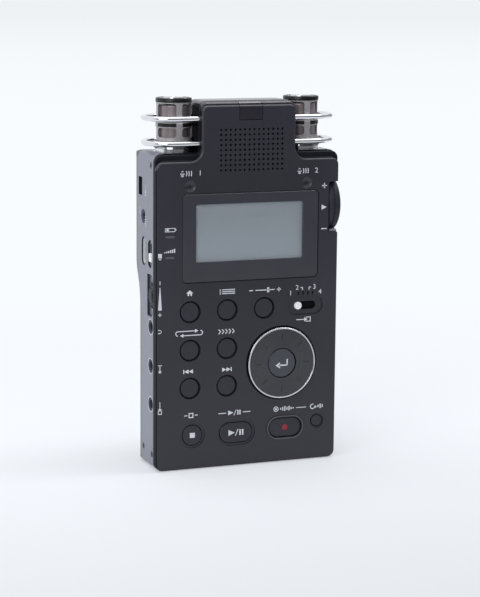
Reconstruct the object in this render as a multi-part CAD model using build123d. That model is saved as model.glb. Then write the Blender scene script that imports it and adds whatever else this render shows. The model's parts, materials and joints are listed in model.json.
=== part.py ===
from build123d import *
import math
import os

# Hand-held stereo audio recorder: a slab case with grey metal side frames, a speaker tower between
# two microphones, a display, keys, a jog wheel, thumb dials, sockets and battery bays.
# Millimetres, +Z up, front towards -Y. The origin is the centre of the flat base, half-way through
# the case's depth. Places inside the case are given as a depth behind the front plane.
os.makedirs("parts", exist_ok=True)

# Case
case_width = 80.0
case_depth = 35.0
lower_case_depth = 30.0
shoulder_top = 131.0
tower_width = 40.8
tower_top = 151.9
wall = 2.0
step_low = 66.0
step_high = 86.0
side_corner = 11.0
shoulder_rear_round = 11.0
base_rear_round = 4.0
case_corner = 3.5
tower_round = 20.0
tower_edge = 3.0
tower_front_edge = 1.0
tower_foot = 14.0
wrap = 4.0
top_block_base = 126.5
bottom_block_top = 5.0

# Front cover
cover_depth = 3.9
cover_wall = 2.0
plate_depth = 1.6
plate_base = 0.3
plate_shoulder = 127.8
plate_top = 150.2
plate_corner = 3.0
plate_edge = 1.0
neck_round = 5.0
tower_corner = 2.5
rim_rise = 2.7
rim_top_rise = 1.2
rim_neck_round = 2.5

# Clearances
key_gap = 0.3
seat_gap = 0.05
slide_gap = 0.1
lens_gap = 0.15
bore_gap = 0.05
door_gap = 0.3

# Display
lens_left = -28.9
lens_right = 31.1
lens_low = 78.1
lens_high = 114.8
lens_corner = 2.0
lens_thickness = 1.3
view_left = -23.1
view_right = 23.6
view_low = 86.4
view_high = 110.1
view_margin = 2.2
module_border = 3.0
module_thickness = 2.4

# Speaker grille
grille_column_count = 14
grille_row_count = 9
grille_pitch = 2.055
grille_hole = 0.95
grille_left = -12.3
grille_high = 140.3
speaker_width = 28.0
speaker_height = 18.0
speaker_thickness = 4.4
speaker_corner = 4.0

# Remote window, level lights and surface microphones
window_left = -4.5
window_right = 5.8
window_low = 144.1
window_thickness = 1.5
light_x = -34.1
light_heights = (97.5, 89.0)
light_width = 4.0
light_height = 1.0
light_length = 4.6
surface_mic_x = 25.5
surface_mic_z = 117.8
surface_mic_dish = 2.3
surface_mic_dish_depth = 0.8
surface_mic_hole = 0.6
surface_mic_radius = 3.0
surface_mic_length = 2.4

# Keys
key_radius = 4.0
key_travel = 0.4
key_recess = 0.4
transport_recess = 0.15
key_flange = 0.8
key_flange_thickness = 0.7
key_stem = 1.5
key_columns = (-25.4, -9.2, 7.1)
key_rows = (66.3, 50.3, 34.5)
dish_rim = 0.9
dish_depth = 0.5
stop_centre = (-24.2, 14.6)
stop_radius = 4.2
play_centre = (-4.9, 14.3)
play_size = (14.4, 8.4)
record_centre = (17.0, 14.9)
record_size = (14.4, 8.0)
record_ring_wall = 0.9
record_ring_rise = 0.5
auto_centre = (31.5, 16.65)
auto_radius = 2.4

# Jog wheel and its centre key
jog_centre = (15.0, 42.7)
jog_radius = 15.0
jog_proud = 1.0
jog_disc_back = 1.6
jog_flange = 1.4
jog_flange_thickness = 0.5
jog_hub_outer = 9.4
jog_hub_inner = 8.0
jog_hub_back = 3.5
jog_ring_width = 0.75
jog_ring_depth = 0.6
jog_tick_count = 8
jog_tick_length = 3.0
jog_tick_width = 0.35
jog_tick_depth = 0.2
jog_tick_radius = 10.8
encoder_bore = 5.2
encoder_gap = 0.3
enter_radius = 6.05
enter_proud = 0.8
enter_flange = 1.35
enter_flange_thickness = 0.6

# Boards
front_board_depth = 4.0
front_board_thickness = 0.8
front_board_left = -27.2
front_board_right = 35.6
front_board_low = 6.5
front_board_high = 77.0
main_board_depth = 10.7
main_board_thickness = 1.6
main_board_low = 24.3
main_board_high = 126.0
board_side_gap = 1.0
board_posts = ((-17.3, 58.4), (-17.3, 25.0), (33.6, 26.5), (33.6, 60.0))
board_post_radius = 1.8
dome_radius = 2.0
dome_height = 0.35

# Input selector on the front
selector_x = 25.6
selector_z = 66.35
selector_dish = (15.8, 7.8)
selector_dish_depth = 0.7
selector_gap = 0.1
selector_knob_radius = 1.6
selector_travel = 6.4
selector_knob_proud = 0.2
selector_plate = (16.6, 5.0)
slider_thickness = 0.8

# Input level dial on the right
dial_centre_depth = 10.8
dial_centre_z = 107.85
dial_radius = 11.8
dial_proud = 0.7
dial_thickness = 4.8
dial_cap = 1.2
dial_shaft = 2.0
dial_pot_radius = 5.0
dial_pot_length = 5.0
dial_pot_gap = 0.7
dial_edge = 0.5
dial_split = 2.7
dial_split_width = 0.4
dial_split_depth = 0.4
dial_inner_radius = 7.6
dial_groove_count = 72
dial_groove_radius = 0.15
dial_lip = 1.6
dial_lip_margin = 2.0
notch_left = 35.5
notch_low = 96.6
notch_high = 117.9
notch_corner = 1.0

# Output level dial on the left
output_centre_x = -30.7
output_centre_z = 72.75
output_radius = 9.6
output_depth = 5.2
output_thickness = 4.2
output_web = 1.8
output_shaft = 1.5
output_pot_radius = 4.2
pot_clearance = 0.6
output_scoop_low = 64.1
output_scoop_high = 81.4
output_scoop_near = 4.0
output_scoop_far = 11.4
output_scoop_depth = 1.0
output_scoop_corner = 3.2
output_edge = 0.3
output_groove_count = 40
output_groove_radius = 0.3

# Hold switch on the left
hold_near = 5.4
hold_far = 10.5
hold_low = 84.1
hold_high = 95.6
hold_dish_depth = 0.7
hold_knob = (3.6, 3.0)
hold_travel = 3.4
hold_rest_z = 88.3
hold_knob_proud = 0.2

# Strap loop on the left: in at the side, out at the back, round a strip of the wall
strap_near = 13.1
strap_far = 18.6
strap_low = 84.2
strap_high = 96.1
strap_width = 5.4
strap_wall = 1.0
strap_floor = 0.7

# Sockets on the left
jack_depth = 7.15
jack_heights = (59.8, 43.5, 27.5)
jack_hole = 3.0
jack_bore = 1.8
jack_half_height = 2.6
jack_near = 4.4
jack_length = 10.4
jack_bore_length = 9.2
remote_jack_depth = 16.3
remote_jack_z = 104.4
remote_jack_hole = 2.9
remote_jack_bore = 1.3
remote_jack_length = 9.2
remote_jack_half = 2.7
usb_near = 18.0
usb_far = 22.6
usb_low = 112.8
usb_high = 120.3
usb_shell = 0.6
usb_length = 8.6
usb_mouth_depth = 6.5
usb_tongue = 1.0

# Microphones
mic_tower_gap = 0.2
mic_depth = 13.6
mic_radius = 7.2
mic_wall = 1.0
mic_top = 153.0
mic_cap_height = 2.0
mic_cap_radius = 7.4
collar_radius = 8.8
collar_waist = 7.5
collar_top = 134.2
cage_window_count = 4
cage_post_width = 2.5
upper_window = (143.1, 150.6)
lower_window = (136.9, 140.8)
band_low = 141.2
band_high = 142.7
band_radius = 7.4
band_groove = 0.4
capsule_gap = 0.15
capsule_top_gap = 0.9

# Microphone guards
guard_wire = 1.05
guard_margin = 13.5
guard_near = 3.05
guard_heights = (144.7, 134.7)

# Line sockets and power socket in the base
xlr_x = 19.5
xlr_bore = 9.5
xlr_well_wall = 0.8
xlr_well_top = 23.5
xlr_insert_radius = 7.5
xlr_insert_low = 2.2
xlr_pin_bore = 1.3
xlr_pin_circle = 4.0
xlr_pin_depth = 10.0
latch_x = 33.0
latch_size = (3.6, 5.0)
latch_recess = 0.4
latch_flange = 0.6
power_depth = 9.6
power_bore = 2.8
power_pin = 0.85
power_body = 4.4
power_length = 11.0
power_bore_length = 9.0
power_flange = 1.0
power_flange_thickness = 1.5
power_recess = 0.3

# Battery bay, cells and door
cell_radius = 7.1
cell_length = 50.0
cell_gap = 0.25
cell_nub_radius = 2.7
cell_nub_length = 1.0
bay_half_width = 27.0
bay_low = 89.6
bay_high = 119.0
cell_door_gap = 1.15
bay_wall = 1.2
door_thickness = 1.8
door_pin = 0.5
door_pin_length = 1.1
door_overlap = 1.0
contact_thickness = 0.5
contact_half_width = 5.0
contact_margin = 2.0
spring_radius = 2.6
spring_hollow = 1.6
pack_left = -22.0
pack_right = 12.0
pack_low = 30.0
pack_high = 66.0
pack_thickness = 7.2
pack_corner = 2.0

# Tripod insert
tripod_z = 40.0
tripod_bore = 2.6
tripod_bore_length = 6.4
tripod_outer = 4.8
tripod_flange = 6.4
tripod_flange_thickness = 1.0
tripod_hole = 3.4

# Rear switches
rear_switch_z = 57.5
rear_switch_x = 20.0
rear_knob = (2.8, 2.6)
rear_travel = 3.4
rear_knob_sink = 0.3
switch_body_height = 3.2
switch_ear = 1.2

# Card slot and card door on the right
card_low = 34.6
card_width = 26.0
card_body_thickness = 3.0
card_body_length = 25.0
card_mouth = 2.4
card_mouth_depth = 23.0
card_door_near = 10.2
card_door_far = 17.6
card_door_margin = 2.4
card_door_thickness = 1.4
card_ledge = 1.0
card_nail = 8.0
card_nail_depth = 0.5
card_nail_near = 0.9
card_nail_width = 1.0

# Screws
screw_head = 1.3
screw_head_depth = 0.6
screw_shank = 0.7
screw_length = 3.4
side_screws = ((6.8, 126.1), (16.4, 7.8), (5.6, 6.6))
rear_screws = ((-30.0, 29.0), (30.0, 29.0), (-31.4, 109.8), (31.4, 109.8))
rear_screw_head = 1.8
rear_screw_shank = 0.9
rear_screw_length = 8.0
rear_screw_pocket = 2.4
rear_post_radius = 2.4

half_width = case_width / 2
half_tower = tower_width / 2
front_plane = -case_depth / 2
mic_x = half_tower + mic_cap_radius + mic_tower_gap
guard_reach = mic_x + guard_margin
capsule_radius = mic_radius - mic_wall - capsule_gap
capsule_top = mic_top - mic_cap_height - capsule_top_gap
xlr_depth = lower_case_depth - wall - slide_gap - xlr_well_wall - xlr_bore
bay_floor_depth = case_depth - door_thickness - cell_door_gap - 2 * cell_radius - cell_gap
beyond = 5.0
tiny = 1e-4
inner_lap = 1.0
mouth_margin = 2.0
dial_outer_x = half_width + dial_proud
dial_inner_x = dial_outer_x - dial_thickness
dial_pot_outer_x = dial_inner_x - dial_pot_gap
dial_pot_inner_x = dial_pot_outer_x - dial_pot_length
dial_pot_back = dial_centre_depth + dial_pot_radius


def at_depth(depth):
    return front_plane + depth


def save(name, shape):
    export_step(Compound(label=name, children=list(shape.solids())), f"parts/{name}.step")


def block(x_range, depth_range, z_range):
    x0, x1 = x_range
    d0, d1 = depth_range
    z0, z1 = z_range
    centre = Pos((x0 + x1) / 2, at_depth((d0 + d1) / 2), (z0 + z1) / 2)
    return centre * Box(x1 - x0, d1 - d0, z1 - z0)


def rod_y(radius, x, z, depth_range):
    d0, d1 = depth_range
    return Pos(x, at_depth((d0 + d1) / 2), z) * Rot(90, 0, 0) * Cylinder(radius, d1 - d0)


def rod_x(radius, depth, z, x_range):
    x0, x1 = x_range
    return Pos((x0 + x1) / 2, at_depth(depth), z) * Rot(0, 90, 0) * Cylinder(radius, x1 - x0)


def rod_z(radius, x, depth, z_range):
    z0, z1 = z_range
    return Pos(x, at_depth(depth), (z0 + z1) / 2) * Cylinder(radius, z1 - z0)


def slab(face, depth_range):
    # A face drawn in X and Z, made solid between two depths.
    d0, d1 = depth_range
    placed = Plane(origin=(0, at_depth(d0), 0), x_dir=(1, 0, 0), z_dir=(0, -1, 0)) * face
    return extrude(placed, amount=d1 - d0, dir=(0, 1, 0))


def side_slab(face, x_range):
    # A face drawn in Y and Z, made solid between two widths.
    x0, x1 = x_range
    placed = Plane(origin=(x0, 0, 0), x_dir=(0, 1, 0), z_dir=(1, 0, 0)) * face
    return extrude(placed, amount=x1 - x0, dir=(1, 0, 0))


def rounded_face(x_range, z_range, radius):
    x0, x1 = x_range
    z0, z1 = z_range
    return Pos((x0 + x1) / 2, (z0 + z1) / 2) * RectangleRounded(x1 - x0, z1 - z0, radius)


def oblong_face(centre, size):
    return Pos(centre[0], centre[1]) * SlotOverall(size[0], size[1])


def grown(size, margin):
    return (size[0] + 2 * margin, size[1] + 2 * margin)


# Outlines of the case
def front_outline(half, base, shoulder, neck, top, corners):
    base_round, shoulder_round, neck_fillet, top_round = corners
    face = Polygon(
        (-half, base), (half, base), (half, shoulder), (neck, shoulder),
        (neck, top), (-neck, top), (-neck, shoulder), (-half, shoulder), align=None)
    for radius, x, z in (
            (base_round, half, base), (shoulder_round, half, shoulder),
            (neck_fillet, neck, shoulder), (top_round, neck, top)):
        picked = [v for v in face.vertices() if abs(abs(v.X) - x) < tiny and abs(v.Y - z) < tiny]
        face = fillet(picked, radius)
    return face


def stepped_back(inset):
    # Side view of the case without its tower: two depths joined by an S of two arcs.
    back = case_depth - inset
    lower_back = lower_case_depth - inset
    top = shoulder_top - inset
    rise = case_depth - lower_case_depth
    run = step_high - step_low
    chord = math.hypot(run, rise) / 2
    arc_radius = chord ** 2 / rise * 2 / 2
    bulge = arc_radius - math.sqrt(arc_radius ** 2 - (chord / 2) ** 2)
    slope = math.atan2(rise, run)
    middle = (lower_back + rise / 2, (step_low + step_high) / 2)
    low_knee = (
        lower_back + rise / 4 - bulge * math.cos(slope), step_low + run / 4 + bulge * math.sin(slope))
    high_knee = (back - rise / 4 + bulge * math.cos(slope), step_high - run / 4 - bulge * math.sin(slope))

    def place(point):
        return (at_depth(point[0]), point[1])

    edges = [
        Line(place((cover_depth, inset)), place((lower_back, inset))),
        Line(place((lower_back, inset)), place((lower_back, step_low))),
        ThreePointArc(place((lower_back, step_low)), place(low_knee), place(middle)),
        ThreePointArc(place(middle), place(high_knee), place((back, step_high))),
        Line(place((back, step_high)), place((back, top))),
        Line(place((back, top)), place((cover_depth, top))),
        Line(place((cover_depth, top)), place((cover_depth, inset)))]
    return make_face(edges)


def rounded_back(inset):
    # The same side view with its upper and lower rear corners rounded.
    face = stepped_back(inset)
    for depth, z, radius in (
            (case_depth - inset, shoulder_top - inset, shoulder_rear_round - inset),
            (lower_case_depth - inset, inset, base_rear_round - inset)):
        corner = [v for v in face.vertices() if abs(v.X - at_depth(depth)) < tiny and abs(v.Y - z) < tiny]
        face = fillet(corner, radius)
    return face


def main_body(inset):
    # The case below its tower, filled, drawn in by an inset on every outer side.
    half = half_width - inset
    body = side_slab(stepped_back(inset), (-half, half))
    rear = [e for e in body.edges() if abs(abs(e.center().X) - half) < tiny
            and e.center().Y > at_depth(lower_case_depth - inset) - 1
            and inset + 1 < e.center().Z < shoulder_top - inset - 1]
    body = fillet(rear, side_corner - inset)
    corner = case_corner - inset
    outline = front_outline(
        half, inset, shoulder_top - inset, half_tower, tower_top, (corner, corner, tiny * 10, case_corner))
    return body & side_slab(rounded_back(inset), (-half, half)) & slab(outline, (0, case_depth))


def tower_body(inset):
    # The tower runs down inside the case, with a large round from its top to the back.
    half = half_tower - inset
    top = tower_top - inset
    back = case_depth - inset
    radius = tower_round - inset
    mid = radius * (1 - math.sqrt(0.5))
    low = top_block_base - tower_foot
    edges = [
        Line((at_depth(cover_depth), low), (at_depth(back), low)),
        Line((at_depth(back), low), (at_depth(back), top - radius)),
        ThreePointArc((at_depth(back), top - radius), (at_depth(back - mid), top - mid),
                      (at_depth(back - radius), top)),
        Line((at_depth(back - radius), top), (at_depth(cover_depth), top)),
        Line((at_depth(cover_depth), top), (at_depth(cover_depth), low))]
    body = side_slab(make_face(edges), (-half, half))
    crown = [e for e in body.edges() if abs(abs(e.center().X) - half) < tiny and e.center().Z > top - radius + 1
             and e.center().Y > at_depth(cover_depth) + 1]
    body = fillet(crown, tower_edge - inset)
    if inset == 0:
        front = [e for e in body.edges() if abs(e.center().Y - at_depth(cover_depth)) < tiny
                 and e.center().Z > low + 1]
        body = fillet(front, tower_front_edge)
    return body


outer_body = main_body(0) + tower_body(0)
inner_body = main_body(wall) + tower_body(wall) + block(
    (-half_width + wall, half_width - wall), (cover_depth - inner_lap, cover_depth + inner_lap),
    (wall + mouth_margin, shoulder_top - wall - mouth_margin))
shell = outer_body - inner_body

# The side frames end where the rear corner rounds begin.
lower_seam = lower_case_depth - side_corner
upper_seam = case_depth - side_corner
seam_face = Polygon(
    (at_depth(0), -beyond), (at_depth(lower_seam), -beyond), (at_depth(lower_seam), step_low),
    (at_depth(upper_seam), step_high), (at_depth(upper_seam), tower_top + beyond),
    (at_depth(0), tower_top + beyond), align=None)
ahead_of_seam = side_slab(seam_face, (-case_width, case_width))
wrap_x = half_width - wrap


def side_region(side):
    x_range = sorted((side * wrap_x, side * case_width))
    return block(x_range, (0, case_depth), (-beyond, shoulder_top + beyond)) & ahead_of_seam


bottom_region = block((-wrap_x, wrap_x), (0, case_depth + beyond), (-beyond, bottom_block_top))
tower_region = block(
    (-half_tower - 1, half_tower + 1), (0, case_depth + beyond), (shoulder_top, tower_top + beyond))
top_region = (block(
    (-wrap_x, wrap_x), (0, case_depth), (top_block_base, shoulder_top + 1)) & ahead_of_seam) + tower_region


# Front cover
rim_shoulder = plate_shoulder + rim_rise
rim_top = plate_top + rim_top_rise
plate_corners = (plate_corner, plate_corner, neck_round, tower_corner)
rim_corners = (plate_corner, plate_corner, rim_neck_round, tower_corner)


def cover_outer():
    plate_face = front_outline(half_width, plate_base, plate_shoulder, half_tower, plate_top, plate_corners)
    rim_face = front_outline(half_width, plate_base, rim_shoulder, half_tower, rim_top, rim_corners)
    plate = slab(plate_face, (0, plate_depth))
    front_edges = [e for e in plate.edges() if abs(e.center().Y - at_depth(0)) < tiny]
    plate = fillet(front_edges, plate_edge)
    rim = slab(rim_face, (plate_depth, cover_depth))
    rim_edges = [e for e in rim.edges() if abs(e.center().Y - at_depth(plate_depth)) < tiny
                 and e.center().Z > plate_shoulder + 0.5]
    rim_edges = [e for e in rim_edges if abs(e.center().X) < half_tower - 1 and e.center().Z > plate_top - 1
                 or abs(e.center().X) > half_tower + 4 and e.center().Z > rim_shoulder - 0.5]
    rim = chamfer(rim_edges, plate_edge * 0.6)
    return plate + rim


def key_positions():
    layout = {
        "home_button": (0, 0), "menu_button": (1, 0), "playback_button": (2, 0),
        "loop_button": (0, 1), "quick_button": (1, 1),
        "back_button": (0, 2), "forward_button": (1, 2)}
    return {name: (key_columns[column], key_rows[row]) for name, (column, row) in layout.items()}


cover_outer_solid = cover_outer()
window_box = block((window_left, window_right), (-1, cover_depth), (window_low, tower_top))


def make_front_cover():
    inner_face = front_outline(
        half_width - wall, plate_base + wall, rim_shoulder - wall, half_tower - wall, rim_top - wall, rim_corners)
    cover = cover_outer_solid - slab(inner_face, (cover_wall, cover_depth + 1))
    through = (-2, cover_depth)
    cuts = []

    # Display recess and window
    lens_face = rounded_face((lens_left, lens_right), (lens_low, lens_high), lens_corner)
    cuts.append(slab(lens_face, (-1, lens_thickness)))
    cuts.append(slab(rounded_face(
        (view_left - view_margin, view_right + view_margin),
        (view_low - view_margin, view_high + view_margin), lens_corner), through))

    # Speaker grille
    for column in range(grille_column_count):
        for row in range(grille_row_count):
            x = grille_left + column * grille_pitch
            z = grille_high - row * grille_pitch
            cuts.append(rod_y(grille_hole / 2, x, z, (-1, cover_wall + 0.5)))

    # Remote window, level lights and surface microphones
    cuts.append(window_box)
    for z in light_heights:
        cuts.append(block(
            (light_x - light_width / 2, light_x + light_width / 2), through,
            (z - light_height / 2, z + light_height / 2)))
    ball = (surface_mic_dish ** 2 + surface_mic_dish_depth ** 2) / (2 * surface_mic_dish_depth)
    for side in (-1, 1):
        centre = Pos(side * surface_mic_x, at_depth(surface_mic_dish_depth - ball), surface_mic_z)
        cuts.append(centre * Sphere(ball))
        cuts.append(rod_y(surface_mic_hole, side * surface_mic_x, surface_mic_z, through))

    # Keys
    for x, z in key_positions().values():
        cuts.append(rod_y(key_radius + key_gap, x, z, through))
    stop_x, stop_z = stop_centre
    cuts.append(rod_y(stop_radius + key_gap, stop_x, stop_z, through))
    cuts.append(rod_y(stop_radius + key_gap + dish_rim, stop_x, stop_z, (-1, dish_depth)))
    cuts.append(slab(oblong_face(play_centre, grown(play_size, key_gap)), through))
    cuts.append(slab(oblong_face(play_centre, grown(play_size, key_gap + dish_rim)), (-1, dish_depth)))
    cuts.append(slab(oblong_face(record_centre, grown(record_size, key_gap)), through))
    cuts.append(rod_y(auto_radius + key_gap, auto_centre[0], auto_centre[1], through))
    cuts.append(rod_y(auto_radius + key_gap + dish_rim / 2, auto_centre[0], auto_centre[1], (-1, dish_depth)))

    # Jog wheel, input selector and the notch of the input dial
    cuts.append(rod_y(jog_radius + key_gap, jog_centre[0], jog_centre[1], through))
    cuts.append(slab(oblong_face((selector_x, selector_z), selector_dish), (-1, selector_dish_depth)))
    selector_slot = (
        2 * selector_knob_radius + selector_travel + 2 * selector_gap, 2 * selector_knob_radius + 2 * selector_gap)
    cuts.append(slab(oblong_face((selector_x, selector_z), selector_slot), through))
    notch_face = rounded_face((notch_left, case_width), (notch_low, notch_high), notch_corner)
    cuts.append(slab(notch_face, (-2, cover_depth + 1)))

    cover = cover - cuts

    # Raised ring around the record key
    ring_face = oblong_face(record_centre, grown(record_size, key_gap + record_ring_wall)) - oblong_face(
        record_centre, grown(record_size, key_gap))
    ring = slab(ring_face, (-record_ring_rise, 0.1))
    ring_edges = [e for e in ring.edges() if abs(e.center().Y - at_depth(-record_ring_rise)) < tiny]
    cover = cover + fillet(ring_edges, record_ring_wall * 0.3)

    # Posts that carry the front board
    for x, z in board_posts:
        cover = cover + rod_y(board_post_radius, x, z, (cover_wall - 0.1, front_board_depth))
    return cover


def make_remote_window():
    skin = cover_outer_solid & window_box
    hollow = block(
        (window_left - 1, window_right + 1), (window_thickness, cover_depth + 1),
        (window_low - 1, rim_top - window_thickness))
    return skin - hollow


def make_display_lens():
    face = rounded_face(
        (lens_left + lens_gap, lens_right - lens_gap), (lens_low + lens_gap, lens_high - lens_gap),
        lens_corner - lens_gap)
    lens = slab(face, (0, lens_thickness))
    return chamfer([e for e in lens.edges() if abs(e.center().Y - at_depth(0)) < tiny], 0.2)


def make_display_module():
    x_range = (view_left - module_border, view_right + module_border)
    z_range = (view_low - module_border, view_high + module_border)
    frame = block(x_range, (cover_wall, cover_wall + module_thickness), z_range)
    edge = view_margin - key_gap
    glass = slab(
        rounded_face((view_left - edge, view_right + edge), (view_low - edge, view_high + edge), lens_corner),
        (lens_thickness + slide_gap, cover_wall + 0.1))
    return frame + glass


def make_light_pipes():
    gap = seat_gap
    pipes = []
    for z in light_heights:
        pipe = block(
            (light_x - light_width / 2 + gap, light_x + light_width / 2 - gap), (0.1, light_length),
            (z - light_height / 2 + gap, z + light_height / 2 - gap))
        foot = block(
            (light_x - light_width / 2 - 0.6, light_x + light_width / 2 + 0.6), (cover_wall, light_length),
            (z - light_height, z + light_height))
        pipes.append(pipe + foot)
    return Compound(children=pipes)


def make_surface_mics():
    mics = []
    for side in (-1, 1):
        depths = (cover_wall, cover_wall + surface_mic_length)
        mics.append(rod_y(surface_mic_radius, side * surface_mic_x, surface_mic_z, depths))
    return Compound(children=mics)


def make_speaker():
    x = grille_left + (grille_column_count - 1) * grille_pitch / 2
    z = grille_high - (grille_row_count - 1) * grille_pitch / 2
    basket = slab(rounded_face(
        (x - speaker_width / 2, x + speaker_width / 2), (z - speaker_height / 2, z + speaker_height / 2),
        speaker_corner),
        (cover_wall, cover_wall + speaker_thickness * 0.55))
    magnet = rod_y(speaker_height * 0.38, x, z, (cover_wall, cover_wall + speaker_thickness))
    return basket + magnet


# Keys
board_top_of_dome = front_board_depth - dome_height
stem_end = board_top_of_dome - key_travel - seat_gap


def finish_key(cap, flange, centre, rise):
    front_edges = [e for e in cap.edges() if e.center().Y < cap.bounding_box().min.Y + tiny]
    cap = fillet(front_edges, rise)
    stem = rod_y(key_stem, centre[0], centre[1], (cover_wall, stem_end))
    return cap + flange + stem


def round_key(centre, radius, face_depth):
    cap = rod_y(radius, centre[0], centre[1], (face_depth, cover_wall + 0.5))
    flange = rod_y(
        radius + key_flange, centre[0], centre[1],
        (cover_wall + seat_gap, cover_wall + seat_gap + key_flange_thickness))
    return finish_key(cap, flange, centre, 0.3)


def oblong_key(centre, size, face_depth):
    cap = slab(oblong_face(centre, size), (face_depth, cover_wall + 0.5))
    flange = slab(oblong_face(centre, grown(size, key_flange)), (
        cover_wall + seat_gap, cover_wall + seat_gap + key_flange_thickness))
    return finish_key(cap, flange, centre, 0.35)


enter_back = jog_disc_back + slide_gap + enter_flange_thickness


def make_enter_button():
    x, z = jog_centre
    cap = rod_y(enter_radius, x, z, (-enter_proud, enter_back))
    flange = rod_y(enter_radius + enter_flange, x, z, (jog_disc_back + slide_gap, enter_back))
    return finish_key(cap, flange, jog_centre, 0.35)


# Jog wheel
def make_jog_wheel():
    x, z = jog_centre
    wheel = rod_y(jog_radius, x, z, (-jog_proud, jog_disc_back + 0.5))
    wheel = wheel + rod_y(
        jog_radius + jog_flange, x, z, (cover_wall + slide_gap, cover_wall + slide_gap + jog_flange_thickness))
    wheel = wheel + rod_y(jog_hub_outer, x, z, (jog_disc_back, jog_hub_back))
    wheel = wheel - rod_y(jog_hub_inner, x, z, (jog_disc_back, jog_hub_back + 1))
    wheel = wheel - rod_y(enter_radius + key_gap, x, z, (-beyond, jog_hub_back + beyond))
    ring_inner = jog_radius - jog_ring_width
    groove = rod_y(jog_radius + 1, x, z, (-jog_proud - 1, -jog_proud + jog_ring_depth)) - rod_y(
        ring_inner, x, z, (-jog_proud - 2, 2))
    wheel = wheel - groove
    for index in range(jog_tick_count):
        turn = 360 / jog_tick_count * index
        tick = Pos(x, at_depth(-jog_proud), z) * Rot(0, turn, 0) * Pos(jog_tick_radius, 0, 0) * Box(
            jog_tick_length, 2 * jog_tick_depth, jog_tick_width)
        wheel = wheel - tick
    return wheel


def make_jog_ring():
    x, z = jog_centre
    ring = rod_y(jog_radius, x, z, (-jog_proud, -jog_proud + jog_ring_depth)) - rod_y(
        jog_radius - jog_ring_width, x, z, (-beyond, beyond))
    edges = [e for e in ring.edges() if e.center().Y < at_depth(-jog_proud) + tiny]
    return fillet(edges, jog_ring_width * 0.35)


def make_jog_encoder():
    x, z = jog_centre
    encoder_front = enter_back + key_travel + encoder_gap
    post = rod_y(jog_hub_inner - bore_gap, x, z, (encoder_front, front_board_depth))
    return post - rod_y(encoder_bore, x, z, (0, front_board_depth + 1))


# Boards
def make_front_board():
    board = block(
        (front_board_left, front_board_right), (front_board_depth, front_board_depth + front_board_thickness),
        (front_board_low, front_board_high))
    return board


def make_main_board():
    # The board is cut out for the input dial and for its potentiometer, whose back it carries.
    side = half_width - wall - board_side_gap
    depths = (main_board_depth, main_board_depth + main_board_thickness)
    board = block((-side, side), depths, (main_board_low, main_board_high))
    dial_room = dial_radius + pot_clearance
    pot_room = dial_pot_radius + slide_gap
    dial_way = block(
        (dial_inner_x - key_gap, half_width), depths, (dial_centre_z - dial_room, dial_centre_z + dial_room))
    pot_way = block(
        (dial_pot_inner_x, half_width), depths, (dial_centre_z - pot_room, dial_centre_z + pot_room))
    return board - [dial_way, pot_way]


# Slide switches: the knob's plate runs between the wall it shows through and the switch body.
def slide_knob(knob, plate, proud, wall_thickness, place, round_knob=False):
    # Local frame: the wall's inner face is z = 0 and its outer side is +z; the knob slides along x.
    leaf = Pos(0, 0, -slide_gap - slider_thickness / 2) * Box(plate[0], plate[1], slider_thickness)
    height = wall_thickness + proud + slide_gap
    if round_knob:
        post = Pos(0, 0, -slide_gap + height / 2) * Cylinder(knob, height)
    else:
        post = Pos(0, 0, -slide_gap + height / 2) * Box(knob[0], knob[1], height)
    top = [e for e in post.edges() if e.center().Z > -slide_gap + height - tiny]
    post = fillet(top, 0.3)
    return place * (leaf + post)


def slide_body(plate, travel, height, place, ears):
    top = -slide_gap - slider_thickness - slide_gap
    length = plate[0] + travel + 2 * slide_gap + 2 * switch_ear
    body = Pos(0, 0, top - height / 2) * Box(length, plate[1], height)
    if ears:
        for side in (-1, 1):
            ear = Pos(side * (length - switch_ear) / 2, 0, top / 2) * Box(switch_ear, plate[1], -top)
            body = body + ear
    return place * body


selector_rest_x = selector_x - selector_travel / 2
selector_place = Plane(
    origin=(selector_rest_x, at_depth(cover_wall), selector_z), x_dir=(1, 0, 0), z_dir=(0, -1, 0)).location
selector_body_place = Plane(
    origin=(selector_x, at_depth(cover_wall), selector_z), x_dir=(1, 0, 0), z_dir=(0, -1, 0)).location
selector_body_height = front_board_depth - cover_wall - 2 * slide_gap - slider_thickness
hold_depth = (hold_near + hold_far) / 2
hold_place = Plane(
    origin=(-half_width + wall, at_depth(hold_depth), hold_rest_z), x_dir=(0, 0, 1), z_dir=(-1, 0, 0)).location
hold_middle = hold_rest_z + hold_travel / 2
hold_body_place = Plane(
    origin=(-half_width + wall, at_depth(hold_depth), hold_middle), x_dir=(0, 0, 1), z_dir=(-1, 0, 0)).location
hold_slot = (hold_knob[0] + hold_travel + 2 * key_gap, hold_knob[1] + 2 * key_gap)
hold_plate = (hold_slot[0], hold_slot[1] + 1.2)
rear_window = (rear_knob[0] + rear_travel + 2 * key_gap, rear_knob[1] + 2 * key_gap)
rear_plate = (rear_window[0], rear_window[1] + 1.2)


def rear_place(side, shift):
    x = side * rear_switch_x + shift
    return Plane(
        origin=(x, at_depth(lower_case_depth - wall), rear_switch_z), x_dir=(-1, 0, 0), z_dir=(0, 1, 0)).location


def make_switch_bodies():
    bodies = [slide_body(
        (selector_plate[0] - 2 * switch_ear - selector_travel, selector_plate[1]), selector_travel,
        selector_body_height, selector_body_place, False)]
    bodies.append(slide_body(hold_plate, hold_travel, switch_body_height, hold_body_place, True))
    for side in (-1, 1):
        bodies.append(slide_body(rear_plate, rear_travel, switch_body_height, rear_place(side, 0), True))
    dome_centres = list(key_positions().values()) + [
        stop_centre, play_centre, record_centre, auto_centre, jog_centre]
    for x, z in dome_centres:
        bodies.append(rod_y(dome_radius, x, z, (board_top_of_dome, front_board_depth)))
    return Compound(children=bodies)


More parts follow.
